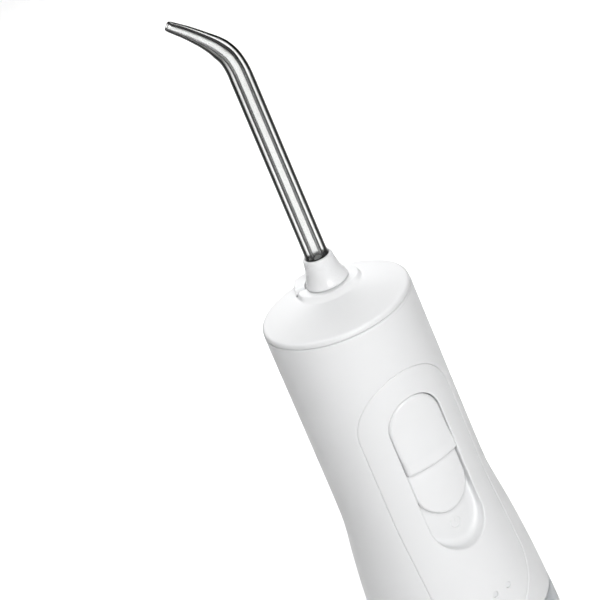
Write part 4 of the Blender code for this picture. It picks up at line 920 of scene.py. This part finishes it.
def solder_mask(name):
    """Green board: copper tracks under the mask as a faint relief of square cells, and a slight mottling."""
    f = Finish(name)
    where = {"Vector": f.place(), "Scale": 420.0}
    cells = f.node("ShaderNodeTexVoronoi", {"distance": "CHEBYCHEV"}, where, "Distance")
    cloud = f.noise(3.0, 3.0)
    green = f.blend(cells + 0.2 * cloud, (0.015, 0.11, 0.045), (0.03, 0.19, 0.08))
    return f.finish(Base_Color=green, Roughness=0.3 + 0.12 * cloud, Normal=f.bump(cells, 0.03))


finishes.update({
    # The nozzle gets painted dark edge lines: a black shader mixed in where its wall is met at a slant.
    "clear": clear_plastic("clear_nozzle_plastic", (0.78, 0.785, 0.78), 0.01, 1.0, painted_edge_shade=1.0),
    "lens": clear_plastic("milky_light_window", (0.84, 0.85, 0.86), 0.4, 0.08),
    "tank": clear_plastic("frosted_tank_plastic", (0.92, 0.95, 0.97), 0.36, 0.78, depth=0.002, grain=14.0),
    "grey_rubber": rubber("pale_grey_rubber", (0.60, 0.61, 0.62)),
    "black_rubber": rubber("black_nitrile", (0.025, 0.025, 0.026), 0.55),
    "steel": worked_metal("bright_steel", (0.66, 0.67, 0.68), 0.28),
    "dark_steel": worked_metal("dark_steel", (0.36, 0.37, 0.39), 0.38, (8, 8, 1)),
    "brass": worked_metal("machined_brass", (0.75, 0.57, 0.26), 0.3),
    "board": solder_mask("solder_mask"),
})
print("all finishes:", len(finishes))

# %% [markdown]
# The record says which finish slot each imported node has, and each new piece says its own. So one pass dresses all.

# %% Dress every node and piece
slot_of = {part["node"]: part["material_slot"] for part in frame["record"]["subparts"]}
for node_name, node in frame["nodes"].items():
    node.data.materials.clear()
    node.data.materials.append(finishes[slot_of[node_name]])
for made in [o for o in bpy.context.scene.objects if o.type == "MESH" and o.get("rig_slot")]:
    made.data.materials.clear()
    made.data.materials.append(finishes[made["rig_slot"]])
print("dressed nodes:", len(frame["nodes"]))

# %% [markdown]
# # Studio
# The object stands on a wide pale floor that runs out of view, so it also serves as the background. Large soft
# lamps give the white plastic its slow shading. The sides stay darker than the front, which turns the edges of a
# white body grey. The dark lines in the clear nozzle are painted shade in its material, not drawn by the lamps.

# %% Floor, lamps and surroundings
def floor_finish():
    """Pale painted floor: matte, with a faint unevenness."""
    f = Finish("studio_floor")
    cloud = f.noise(140.0, 3.0)
    pale = f.blend(cloud, (0.9, 0.9, 0.9), (0.88, 0.88, 0.88))
    return f.finish(Base_Color=pale, Roughness=0.8 + 0.1 * cloud, Specular_IOR_Level=0.1)


span = np.linspace(-3500, 3500, 15)
gx, gy = np.meshgrid(span, span + 1500)
floor_grid = np.stack([gx, gy, 0 * gx], -1)
floor = piece("studio_floor", [(floor_grid, False, False)], None)
floor.data.materials.append(floor_finish())


def direction_to(azimuth, elevation):
    """Unit vector towards a direction in degrees; azimuth 0 is the front, -Y."""
    a, e = math.radians(azimuth), math.radians(elevation)
    return Vector((math.sin(a) * math.cos(e), -math.cos(a) * math.cos(e), math.sin(e)))


def lamp(name, azimuth, elevation, distance, width, height, power, target=(0, 0, 170)):
    """A rectangular soft lamp at a direction and distance in mm from a target, facing it."""
    light = bpy.data.lights.new(name, "AREA")
    light.shape, light.size, light.size_y, light.energy = "RECTANGLE", width * MM, height * MM, power
    away = direction_to(azimuth, elevation)
    made = bpy.data.objects.new(name, light)
    spot = Matrix.Translation((Vector(target) + away * distance) * MM)
    made.matrix_world = spot @ away.to_track_quat("Z", "Y").to_matrix().to_4x4()
    bpy.context.scene.collection.objects.link(made)
    return made


lamp("key_softbox", -14, 33, 1150, 480, 520, 11.0)
lamp("back_softbox", 158, 24, 1500, 600, 700, 1.6)
wash = lamp("floor_wash", 158.5, 89, 900, 500, 700, 3.4, (170, 470, 0))
wash.data.spread = math.radians(80)

world = bpy.data.worlds.new("studio")
bpy.context.scene.world = world
world.use_nodes = True
background = world.node_tree.nodes["Background"]
background.inputs["Color"].default_value = (1, 1, 1, 1)
background.inputs["Strength"].default_value = 0.09
bpy.context.scene.view_settings.view_transform = "Standard"
print("lamps:", sorted(light.name for light in bpy.data.lights))

# %% [markdown]
# The camera looks down on the cap from the front left through a long lens, and leans to one side, so that the
# flosser crosses the picture at a slant, as if held in a hand.

# %% Camera
CAMERA_TURN, CAMERA_RISE = -21.5, 25.2
RANGE, LENS, LEAN = 1000.0, 211.0, math.radians(23.2)
AIM_SHIFT = (-10.5, 1.7)
toward, camera_turn = direction_to(CAMERA_TURN, CAMERA_RISE), math.radians(CAMERA_TURN)
right = Vector((math.cos(camera_turn), math.sin(camera_turn), 0))
up = toward.cross(right)
tilted_right = right * math.cos(LEAN) - up * math.sin(LEAN)
tilted_up = up * math.cos(LEAN) + right * math.sin(LEAN)
aim = Vector((0, 0, SEAM)) + tilted_right * AIM_SHIFT[0] + tilted_up * AIM_SHIFT[1]
lens = bpy.data.cameras.new("camera")
lens.lens, lens.sensor_width, lens.clip_start, lens.clip_end = LENS, 36.0, 0.01, 50.0
camera = bpy.data.objects.new("camera", lens)
turn = Matrix((tilted_right, tilted_up, toward)).transposed().to_4x4()
camera.matrix_world = Matrix.Translation((aim + toward * RANGE) * MM) @ turn
bpy.context.scene.collection.objects.link(camera)
bpy.context.scene.camera = camera
print("camera at", [round(c, 3) for c in camera.location])
